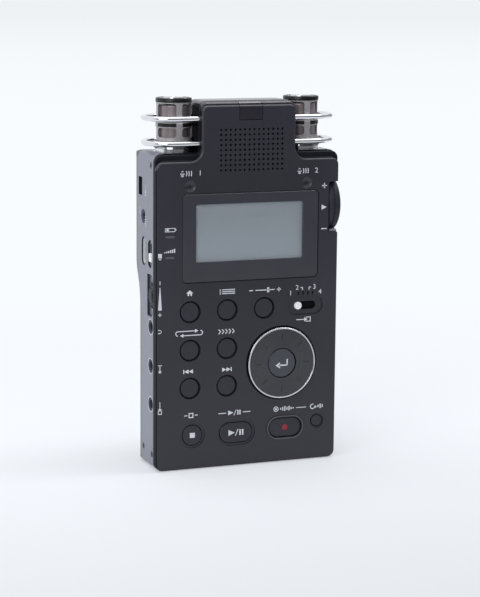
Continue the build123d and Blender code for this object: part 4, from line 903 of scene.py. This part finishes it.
class RECORDER_OT_marks(bpy.types.Operator):
    """Print the marks on the case and on the keys, and draw the painted shade rings round the keys and the
    painted highlight round the record key
    """
    bl_idname = "recorder.marks"
    bl_label = "Printed marks"

    def execute(self, context):
        self.front_marks()
        self.selector_marks()
        self.side_marks()
        self.key_marks()
        self.key_rings()
        return {"FINISHED"}

    def front_marks(self):
        link_rise, link_length, link_line = 6.2, 4.6, 0.3
        pen = Pen()
        for node, draw, shift in KEY_LABELS:
            across, up = centre_mm(node)
            draw(pen.at(across + shift[0], up + shift[1]))
        for draw, place in FRONT_LABELS:
            draw(pen.at(*place))
        for place, digit in MIC_LABELS:
            draw_microphone_label(pen.at(*place), digit)
        record_across = centre_mm("record_button")[0]
        auto_across, auto_up = centre_mm("auto_button")
        pen.at((record_across + auto_across) / 2, auto_up + link_rise).bar(0, 0, link_length, link_line)
        draw_plus(pen.at(dial_marks_x, dial_plus_z), 0, 2.2, 0.4)
        pen.at(dial_marks_x, dial_arrow_z).arrow((1.15, 0), (1, 0), 2.3, 1.05)
        pen.at(dial_marks_x, dial_minus_z).bar(0, 0, 2.4, 0.42)
        raise_marks("front_marks", pen, front_plane())

    def selector_marks(self):
        pen = Pen()
        for digit, place in SELECTOR_NUMERALS:
            pen.at(*place).numeral(digit, 2.0)
        for side in (-1, 1):
            pen.at(*selector_bracket).bar(side * 1.9, 0.0, 0.9, 0.34)
            pen.bar(side * 1.45, -0.55, 0.34, 1.1)
        raise_marks("selector_marks", pen, front_plane())
        pen = Pen()
        for index in range(4):
            pen.at(first_tick[0] + tick_pitch * index, first_tick[1]).bar(0, 0, 0.7, 1.3)
        raise_marks("selector_ticks", pen, front_plane(), "inner_plastic")

    def side_marks(self):
        """Marks that read downwards, along the left edge of the front and on the left side."""
        pen = Pen()
        for draw, height, scale in EDGE_LABELS:
            draw(pen.at(-height, 0.0, scale))
        down_front = Matrix(((0, 1, 0, edge_label_x * MM), (0, 0, -1, front), (-1, 0, 0, 0), (0, 0, 0, 1)))
        raise_marks("edge_marks", pen, down_front)
        pen = Pen()
        for draw, height, back, scale in SIDE_LABELS:
            draw(pen.at(-height, back, scale))
        down_side = Matrix(((0, 0, -1, left_side), (0, -1, 0, 0), (-1, 0, 0, 0), (0, 0, 0, 1)))
        raise_marks("side_marks", pen, down_side)

    def key_marks(self):
        for node, name, scale, material, draw in (
                ("stop_button", "stop_mark", 1.0, "print_white", lambda pen: pen.bar(0, 0, 2.2, 2.1)),
                ("play_button", "play_mark", 1.2, "print_white", draw_play_pause),
                ("record_button", "record_mark", 1.0, "print_red", lambda pen: pen.disc(0, 0, 1.2)),
                ("enter_button", "enter_mark", 1.35, "print_white", draw_return)):
            pen = Pen()
            draw(pen.at(*centre_mm(node), scale))
            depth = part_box(node)[0].y - front
            raise_marks(name, pen, front_plane(depth), material, body_of_node(node))

    def key_rings(self):
        """Painted shade: dark rings round the holes of the round keys and the jog wheel, widening their gaps
        where they fall in shadow; and a painted highlight along the record key's raised ring.
        """
        height = sizes().print_height / MM
        key_shade_width, jog_shade_width = 0.28, 0.45
        outline_gap, outline_line, outline_depth = 0.75, 0.32, -0.5 * MM
        rings = []
        # Painted shade: a dark ring round each round key and round the jog wheel
        holes = [(node, ROUND_KEY_HOLE, key_shade_width) for node in ROUND_KEYS]
        holes.append(("jog_wheel", JOG_HOLE, jog_shade_width))
        for node, hole, width in holes:
            centre = middle(node)
            centre.y = front
            rings.append(turned_piece(
                centre, [(hole, 0), (hole + width, 0), (hole + width, height), (hole, height), (hole, 0)],
                turn=TO_FRONT, steps=80))
        add_piece("key_shadow_rings", joined(rings), "inner_plastic", "root")

        # Painted highlight: a pale line on the top of the record key's raised ring
        pen = Pen().at(*centre_mm("record_button"))
        length, width = RECORD_KEY_SIZE
        for side in (-1, 1):
            end = width / 2 + outline_gap
            pen.arc(side * (length - width) / 2, 0.0, end, outline_line, -90 * side, 180)
            pen.bar(0.0, side * end, length - width, outline_line)
        raise_marks("record_ring_highlight", pen, front_plane(outline_depth), "painted_highlight_plastic")


def rounded_loop(work, left, right, low, high, radius, depth):
    """A closed loop of edges of a rectangle with round corners, in X and Z at one depth."""
    steps = 6
    points = []
    for centre, start in (
            ((right - radius, high - radius), 0), ((left + radius, high - radius), 90),
            ((left + radius, low + radius), 180), ((right - radius, low + radius), 270)):
        for step in range(steps + 1):
            across, up = way_at(start + 90 * step / steps)
            points.append(work.verts.new((centre[0] + radius * across, depth, centre[1] + radius * up)))
    return [work.edges.new((points[index - 1], points[index])) for index in range(len(points))]


def loops_bridged(loops):
    """A closed skin between loops that follow each other, the last joined to the first."""
    work = bmesh.new()
    rings = [rounded_loop(work, *loop) for loop in loops]
    for near, far in zip(rings, rings[1:] + rings[:1]):
        bmesh.ops.bridge_loops(work, edges=near + far)
    bmesh.ops.recalc_face_normals(work, faces=work.faces)
    return work


class RECORDER_OT_display(bpy.types.Operator):
    """Make the display's dark border and its clear pane"""
    bl_idname = "recorder.display"
    bl_label = "Display"

    def execute(self, context):
        left, right, low, high = view_box()
        outer = (lens_low.x, lens_high.x, lens_low.z, lens_high.z)
        back = lens_high.y
        edge, corner, inner_corner = 0.3 * MM, 1.85 * MM, 0.5 * MM
        pane_depth, pane_thickness = 0.05, 0.25
        chamfered = (outer[0] + edge, outer[1] - edge, outer[2] + edge, outer[3] - edge)
        border = loops_bridged([
            (*chamfered, corner - edge, front), (*outer, corner, front + edge), (*outer, corner, back),
            (left, right, low, high, inner_corner, back), (left, right, low, high, inner_corner, front)])
        add_piece("display_border", border, "display_border", "root", ("display_lens",))
        pane_front = front / MM + pane_depth
        pane = block(
            (left / MM, pane_front, low / MM), (right / MM, pane_front + pane_thickness, high / MM))
        add_piece("display_pane", pane, "lens_window", "root", ("display_lens",))
        return {"FINISHED"}


class RECORDER_OT_microphones(bpy.types.Operator):
    """Make the caps and bands of the microphones"""
    bl_idname = "recorder.microphones"
    bl_label = "Microphones"

    def execute(self, context):
        rims, discs, dots, bands, posts = [], [], [], [], []
        post_half = 10.0
        top = caps_high.z / MM
        seat = cages_high.z / MM
        radius = (caps_high.y - caps_low.y) / 2 / MM
        band_low, band_high, soft = 141.2, 142.7, 0.12
        rim_inner, disc_edge, dot_hole = radius - 1.3, radius - 2.5, 0.8
        rim = [
            (rim_inner, seat), (radius - 0.15, seat), (radius, seat + 0.15), (radius, top - 0.55),
            (radius - 0.12, top - 0.3), (radius - 0.4, top - 0.2), (radius - 1.0, top - 0.2),
            (rim_inner, top - 0.45), (rim_inner, seat)]
        disc = [
            (0.0, seat + 0.3), (rim_inner, seat + 0.3), (rim_inner, top - 0.42), (disc_edge, top - 0.34),
            (disc_edge - 0.1, top - 0.6), (disc_edge - 0.45, top - 0.6), (disc_edge - 0.55, top - 0.06),
            (disc_edge - 0.7, top), (dot_hole + 0.1, top), (dot_hole, top - 0.1), (dot_hole, top - 0.5),
            (0.0, top - 0.5)]
        dot = [(0.0, top - 0.6), (0.7, top - 0.6), (0.7, top - 0.2), (0.6, top - soft), (0.0, top - soft)]
        band = [
            (radius - 0.6, band_low), (radius - soft, band_low), (radius, band_low + soft),
            (radius, band_high - soft), (radius - soft, band_high), (radius - 0.6, band_high)]
        for centre in mic_centres():
            rims.append(turned_piece(centre, rim))
            discs.append(turned_piece(centre, disc))
            dots.append(turned_piece(centre, dot, steps=24))
            for start in (0.0, 90.0, 180.0, 270.0):
                bands.append(turned_piece(
                    centre, band, steps=12, start=start + post_half, sweep=90.0 - 2 * post_half))
                posts.append(turned_piece(
                    centre, band, steps=4, start=start - post_half, sweep=2 * post_half))
        for name, parts, material in (
                ("mic_cap_rims", rims, "mic_dark"), ("mic_cap_discs", discs, "mic_cap"),
                ("mic_cap_dots", dots, "mic_dark"), ("mic_bands", bands, "mic_dark"),
                ("mic_band_posts", posts, "mic_black")):
            add_piece(name, joined(parts), material, "root", ("mic_caps_and_bands",))
        return {"FINISHED"}


class RECORDER_OT_fittings(bpy.types.Operator):
    """Make the switch knobs, the fittings of the left side, the remote window and the painted shade on the
    cover's rim
    """
    bl_idname = "recorder.fittings"
    bl_label = "Fittings"

    def execute(self, context):
        self.switch_knobs()
        self.bushings()
        self.linings()
        self.remote_window()
        self.cover_rim_painted_shade()
        return {"FINISHED"}

    def switch_knobs(self):
        """The white knob and the dark plate of the input selector and of the hold switch."""
        plate_thickness = 0.8
        knob_radius, knob_edge = 1.6, 0.3
        low, high = box_mm("input_switch_knob")
        across, up = centre_mm("input_switch_knob")
        plate_front = high.y - plate_thickness
        knob = turned_piece(
            Vector((across, 0, up)) * MM,
            [(0, -plate_front), (knob_radius, -plate_front), (knob_radius, -low.y - knob_edge),
             (1.51, -low.y - 0.09), (knob_radius - knob_edge, -low.y), (0, -low.y)],
            turn=TO_FRONT, steps=40)
        body = body_of_node("input_switch_knob")
        add_piece("input_knob", knob, "white_plastic", body, ("input_switch_knob",))
        plate = block((low.x, plate_front, low.z), high)
        add_piece("input_knob_plate", plate, "inner_plastic", body, ("input_switch_knob",))

        half_knob_depth, half_knob_height, hold_edge = 1.5, 1.8, 0.35
        low, high = box_mm("hold_knob")
        middle_y, middle_z = (low.y + high.y) / 2, (low.z + high.z) / 2
        body = body_of_node("hold_knob")
        knob = block(
            (low.x, middle_y - half_knob_depth, middle_z - half_knob_height),
            (high.x - plate_thickness, middle_y + half_knob_depth, middle_z + half_knob_height), hold_edge)
        add_piece("hold_switch_knob", knob, "white_plastic", body, ("hold_knob",))
        plate = block((high.x - plate_thickness, low.y, low.z), high)
        add_piece("hold_switch_plate", plate, "inner_plastic", body, ("hold_knob",))

    def bushings(self):
        """A sleeve in each jack opening, and a flat ring of bright metal round the three larger ones: their
        chamfer, partly a painted highlight.
        """
        jack_outer, jack_inner, remote_outer, remote_inner = 2.95, 1.85, 2.85, 1.35
        foot, face, soft = 38.05, 39.82, 0.12
        chamfer_foot, chamfer_width = half_width - 0.1, 0.35
        sleeves = []
        openings = [(jack, jack_outer, jack_inner) for jack in JACKS]
        openings.append((REMOTE_JACK, remote_outer, remote_inner))
        for (depth, height), outer, inner in openings:
            sleeve = [
                (inner, foot), (outer, foot), (outer, face - soft), (outer - soft, face),
                (inner + 0.35, face), (inner + 0.1, face - 0.1), (inner, face - 0.32), (inner, foot)]
            sleeves.append(turned_piece(
                Vector((0, depth - half_depth, height)) * MM, sleeve, turn=TO_LEFT, steps=40))
        add_piece("jack_bushings", joined(sleeves), "scoop_plastic", "root")
        # The chamfer as a flat ring of bright metal, with its highlight painted in as brighter metal
        far = jack_outer + chamfer_width
        chamfer = [
            (jack_outer, chamfer_foot), (far, chamfer_foot), (far, half_width + 0.03),
            (jack_outer, half_width - 0.02), (jack_outer, chamfer_foot)]
        chamfers = [
            turned_piece(Vector((0, depth - half_depth, height)) * MM, chamfer, turn=TO_LEFT, steps=40)
            for depth, height in JACKS]
        add_piece("jack_chamfer_highlights", joined(chamfers), "knob_metal", "root")

    def linings(self):
        """Dark walls in the openings of the left side, a painted highlight on the strap slot's edge and the
        dial's lip.
        """
        mouth, deep, hold_deep, scoop_deep = -39.97, -38.05, -39.32, -39.03
        strap_edge_from, strap_edge_to = -39.45, -38.35
        strap_path = oblong_path(STRAP_SLOT, width=5.44, height=11.84)
        hold_path = oblong_path(HOLD_SLOT, width=5.04, height=11.44)
        dark = [
            lining(USB_OPENING, mouth, deep), lining(strap_path, mouth, deep),
            lining(hold_path, mouth, hold_deep)]
        add_piece("opening_linings", joined(dark), "bushing_plastic", "root")
        scoop = lining(DIAL_SCOOP, mouth, scoop_deep)
        add_piece("scoop_lining", scoop, "scoop_plastic", "root")
        # Painted highlight: the front wall of the strap slot is drawn white where the lamp falls on it
        front_half = oblong_path(STRAP_SLOT, width=5.2, height=11.6, start=-62, sweep=124)
        edge = lining(front_half, strap_edge_from, strap_edge_to, closed=False)
        add_piece("strap_edge", edge, "white_plastic", "root")
        lip_low, lip_high, lip_edge = (36.4, -16.6, 96.62), (39.7, -13.7, 97.9), 0.4
        lip = block(lip_low, lip_high, lip_edge)
        add_piece("dial_lip", lip, "frame_metal", "root")

    def remote_window(self):
        """The remote window with a narrow seam round it."""
        low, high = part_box("remote_window")
        work = merged_copy("remote_window")
        seam = 0.22 * MM
        shrink = 1 - 2 * seam / (high.x - low.x)
        centre_x = (low.x + high.x) / 2
        for vert in work.verts:
            vert.co.x = centre_x + (vert.co.x - centre_x) * shrink
            vert.co.z += seam * (high.z - vert.co.z) / (high.z - low.z)
        add_piece("remote_pane", work, "remote_plastic", "root", ("remote_window",))

    def cover_rim_painted_shade(self):
        """Painted shade and painted dark reflection: a thin dark skin on the left and lower rim of the front
        cover, its shoulders and its neck, where the round edges and the rim's front face fall dark.
        """
        skin, rim_back, tower_end = 0.03, 3.85, 148.0
        side_end = ((-half_width, plate_shoulder - corner_radius - 0.3), (-1.0, 0.0))
        lower = [side_end, *corner_path(
            (corner_radius - half_width, case_base + corner_radius), corner_radius, 180, 270)]
        lower.append(((half_width - corner_radius, case_base), (0.0, -1.0)))
        edge_ways = [way_at(angle) for angle in (55, 40, 25, 10)]
        outside, inside = (
            [(size * out - 1, 1 - size * ahead) for out, ahead in edge_ways] + [(size - 1, rim_back)]
            for size in (1 + skin, 1 - skin))
        skins = [swept_skin(lower, outside + inside[::-1])]

        neck_centre = (-half_tower - neck_radius, rim_shoulder + neck_radius)
        neck = [
            ((2 * neck_centre[0] - spot[0], 2 * neck_centre[1] - spot[1]), way)
            for spot, way in corner_path(neck_centre, neck_radius, 90, 180)]
        shoulder = [side_end, *corner_path(
            (corner_radius - half_width, rim_shoulder - corner_radius), corner_radius, 180, 90), *neck]
        flank = [neck[-1], ((-half_tower, tower_end), (-1.0, 0.0))]
        shoulder_profile = [
            (-2.2, 1.55), (-0.35, 1.55), (skin, 1.9), (skin, rim_back), (-skin, rim_back), (-skin, 1.95),
            (-0.4, 1.62), (-2.2, 1.62)]
        flank_profile = [(skin, 1.1), (skin, rim_back), (-skin, rim_back), (-skin, 1.1)]
        for hand in (1, -1):
            for path, profile in ((shoulder, shoulder_profile), (flank, flank_profile)):
                handed = [((hand * spot[0], spot[1]), (hand * way[0], way[1])) for spot, way in path]
                skins.append(swept_skin(handed, profile))
        add_piece("cover_rim_painted_shade", joined(skins), "rim_painted_shade", "root")


# Stage
class RECORDER_OT_stage(bpy.types.Operator):
    """Make the floor, the lamps, the world and the camera"""
    bl_idname = "recorder.stage"
    bl_label = "Stage"

    def execute(self, context):
        setting = context.scene.recorder_stage
        make_floor(setting)
        make_world(setting)
        make_lamps()
        make_camera(setting)
        context.scene.view_settings.view_transform = "Standard"
        return {"FINISHED"}


def seen_rays(tree):
    """1 for camera, glossy and transmission rays."""
    rays = placed(tree, "LightPath", {})
    seen = larger(tree, rays["Is Camera Ray"], rays["Is Glossy Ray"])
    return larger(tree, seen, rays["Is Transmission Ray"])


def glossy_rays(tree):
    return placed(tree, "LightPath", {})["Is Glossy Ray"]


def make_floor(setting):
    """A pale floor that fades into the backdrop, darkens with painted shade towards its front edge and far
    away, and is dark in front and at the right for shiny surfaces.
    """
    work = bmesh.new()
    bmesh.ops.create_grid(work, x_segments=2, y_segments=2, size=setting.floor_size)
    floor = new_object("floor", new_mesh("floor", work))
    tree, shader = new_material("floor_pale")
    place = object_place(tree)
    reach = placed(tree, "VectorMath", {0: place}, operation="LENGTH")["Value"]
    parts = placed(tree, "SeparateXYZ", {"Vector": place})
    # Painted shade: the floor darkens towards its front edge
    painted_front_shade = ramp(tree, parts["Y"], -0.35, 0.1, 0.78, 1.0)
    feed(tree, shader, {
        "Base Color": scaled(tree, setting.floor_colour, painted_front_shade), "Roughness": 0.7,
        "Specular IOR Level": 0.2})
    fade = ramp(tree, reach, 0.06, 0.5, 0.4, 1.0)
    room_side = ramp(tree, parts["Y"], -0.1, -0.4)
    right_side = ramp(tree, parts["X"], 0.15, 0.6, 0.0, 0.75)
    away = ramp(tree, reach, 0.25, 0.8)
    dark = product(tree, product(tree, larger(tree, room_side, right_side), away), glossy_rays(tree))
    # The glow carries the same painted shade, and darkens further far away
    level = product(tree, painted_front_shade, ramp(tree, reach, 0.8, 9.0, 1.0, 0.91))
    glow = placed(tree, "Emission", {
        "Color": (*setting.backdrop_colour, 1), "Strength": product(tree, level, dimmed(tree, dark, 0.75))})
    mix = placed(tree, "MixShader", {
        "Fac": product(tree, fade, seen_rays(tree)), 1: tree.nodes["Principled BSDF"].outputs["BSDF"],
        2: glow["Emission"]})
    feed(tree, tree.nodes["Material Output"].inputs, {"Surface": mix["Shader"]})
    floor.data.materials.append(MATERIALS["floor_pale"])


def make_world(setting):
    """A pale backdrop that metal and glass see too, and a weak room that is dark low behind the camera."""
    world = bpy.data.worlds.new("studio")
    bpy.context.scene.world = world
    world.use_nodes = True
    tree = world.node_tree
    tree.nodes.clear()
    way = placed(tree, "TexCoord", {})["Generated"]
    parts = placed(tree, "SeparateXYZ", {"Vector": way})
    room_level = ramp(tree, parts["X"], -0.7, 0.9, 0.62, 0.42)
    room_side = ramp(tree, parts["Y"], -0.05, -0.4)
    right_side = ramp(tree, parts["X"], 0.55, 0.9, 0.0, 0.75)
    low = ramp(tree, parts["Z"], 0.5, 0.3)
    dark = product(tree, product(tree, larger(tree, room_side, right_side), low), glossy_rays(tree))
    room = placed(tree, "Background", {"Color": (0.93, 0.965, 1.0, 1), "Strength": room_level})
    seen = placed(tree, "Background", {
        "Color": (*setting.backdrop_colour, 1), "Strength": dimmed(tree, dark, 0.93)})
    mix = placed(tree, "MixShader", {"Fac": seen_rays(tree), 1: room["Background"], 2: seen["Background"]})
    placed(tree, "OutputWorld", {"Surface": mix["Shader"]})


def make_lamps():
    """Three soft boxes that face the middle of the case: place, width and height, power and colour."""
    middle_of_case = Vector((0.0, 0.0, 0.08))
    for name, place, size, power, colour in (
            ("left_softbox", (-0.95, -0.95, 0.65), (0.9, 0.9), 8.0, (1.0, 0.99, 0.98)),
            ("top_softbox", (-0.25, 0.1, 1.35), (0.9, 0.8), 6.0, (0.97, 0.985, 1.0)),
            ("edge_strip", (0.45, -0.1, 1.3), (0.3, 0.9), 6.0, (0.97, 0.985, 1.0))):
        lamp = bpy.data.lights.new(name, "AREA")
        lamp.shape = "RECTANGLE"
        lamp.size, lamp.size_y = size
        lamp.energy = power
        lamp.color = colour
        turn = (middle_of_case - Vector(place)).to_track_quat("-Z", "Y").to_matrix().to_4x4()
        new_object(name, lamp).matrix_world = Matrix.Translation(place) @ turn


def make_camera(setting):
    yaw, pitch, roll = setting.camera_turn
    ahead = Vector((math.sin(yaw) * math.cos(pitch), math.cos(yaw) * math.cos(pitch), -math.sin(pitch)))
    right = Vector((math.cos(yaw), -math.sin(yaw), 0.0))
    up = right.cross(ahead)
    rolled_right = math.cos(roll) * right + math.sin(roll) * up
    rolled_up = -math.sin(roll) * right + math.cos(roll) * up
    turn = Matrix((rolled_right, rolled_up, -ahead)).transposed().to_4x4()
    lens = bpy.data.cameras.new("camera")
    lens.sensor_fit = "VERTICAL"
    lens.sensor_height = 36.0
    lens.lens = setting.lens
    lens.clip_start = 0.05
    camera = new_object("camera", lens)
    camera.matrix_world = Matrix.Translation(setting.camera_place) @ turn
    bpy.context.scene.camera = camera


class RECORDER_PT_panel(bpy.types.Panel):
    """The recorder's pieces, in the order in which they are made"""
    bl_label = "Recorder"
    bl_idname = "RECORDER_PT_panel"
    bl_space_type = "VIEW_3D"
    bl_region_type = "UI"
    bl_category = "Recorder"

    def draw(self, context):
        for operator in OPERATORS:
            self.layout.operator(operator.bl_idname)


OPERATORS = (
    RECORDER_OT_materials, RECORDER_OT_display, RECORDER_OT_marks, RECORDER_OT_microphones,
    RECORDER_OT_fittings, RECORDER_OT_stage)
GROUPS = (
    ("recorder_finish", RecorderFinish), ("recorder_sizes", RecorderSizes), ("recorder_stage", StageSetting))


def register():
    for name, group in GROUPS:
        bpy.utils.register_class(group)
        setattr(bpy.types.Scene, name, bpy.props.PointerProperty(type=group))
    for cls in (*OPERATORS, RECORDER_PT_panel):
        bpy.utils.register_class(cls)


def unregister():
    for cls in reversed((*OPERATORS, RECORDER_PT_panel)):
        bpy.utils.unregister_class(cls)
    for name, group in reversed(GROUPS):
        delattr(bpy.types.Scene, name)
        bpy.utils.unregister_class(group)


def main():
    register()
    for operator in OPERATORS:
        group, name = operator.bl_idname.split(".")
        getattr(getattr(bpy.ops, group), name)()


if __name__ == "__main__":
    main()
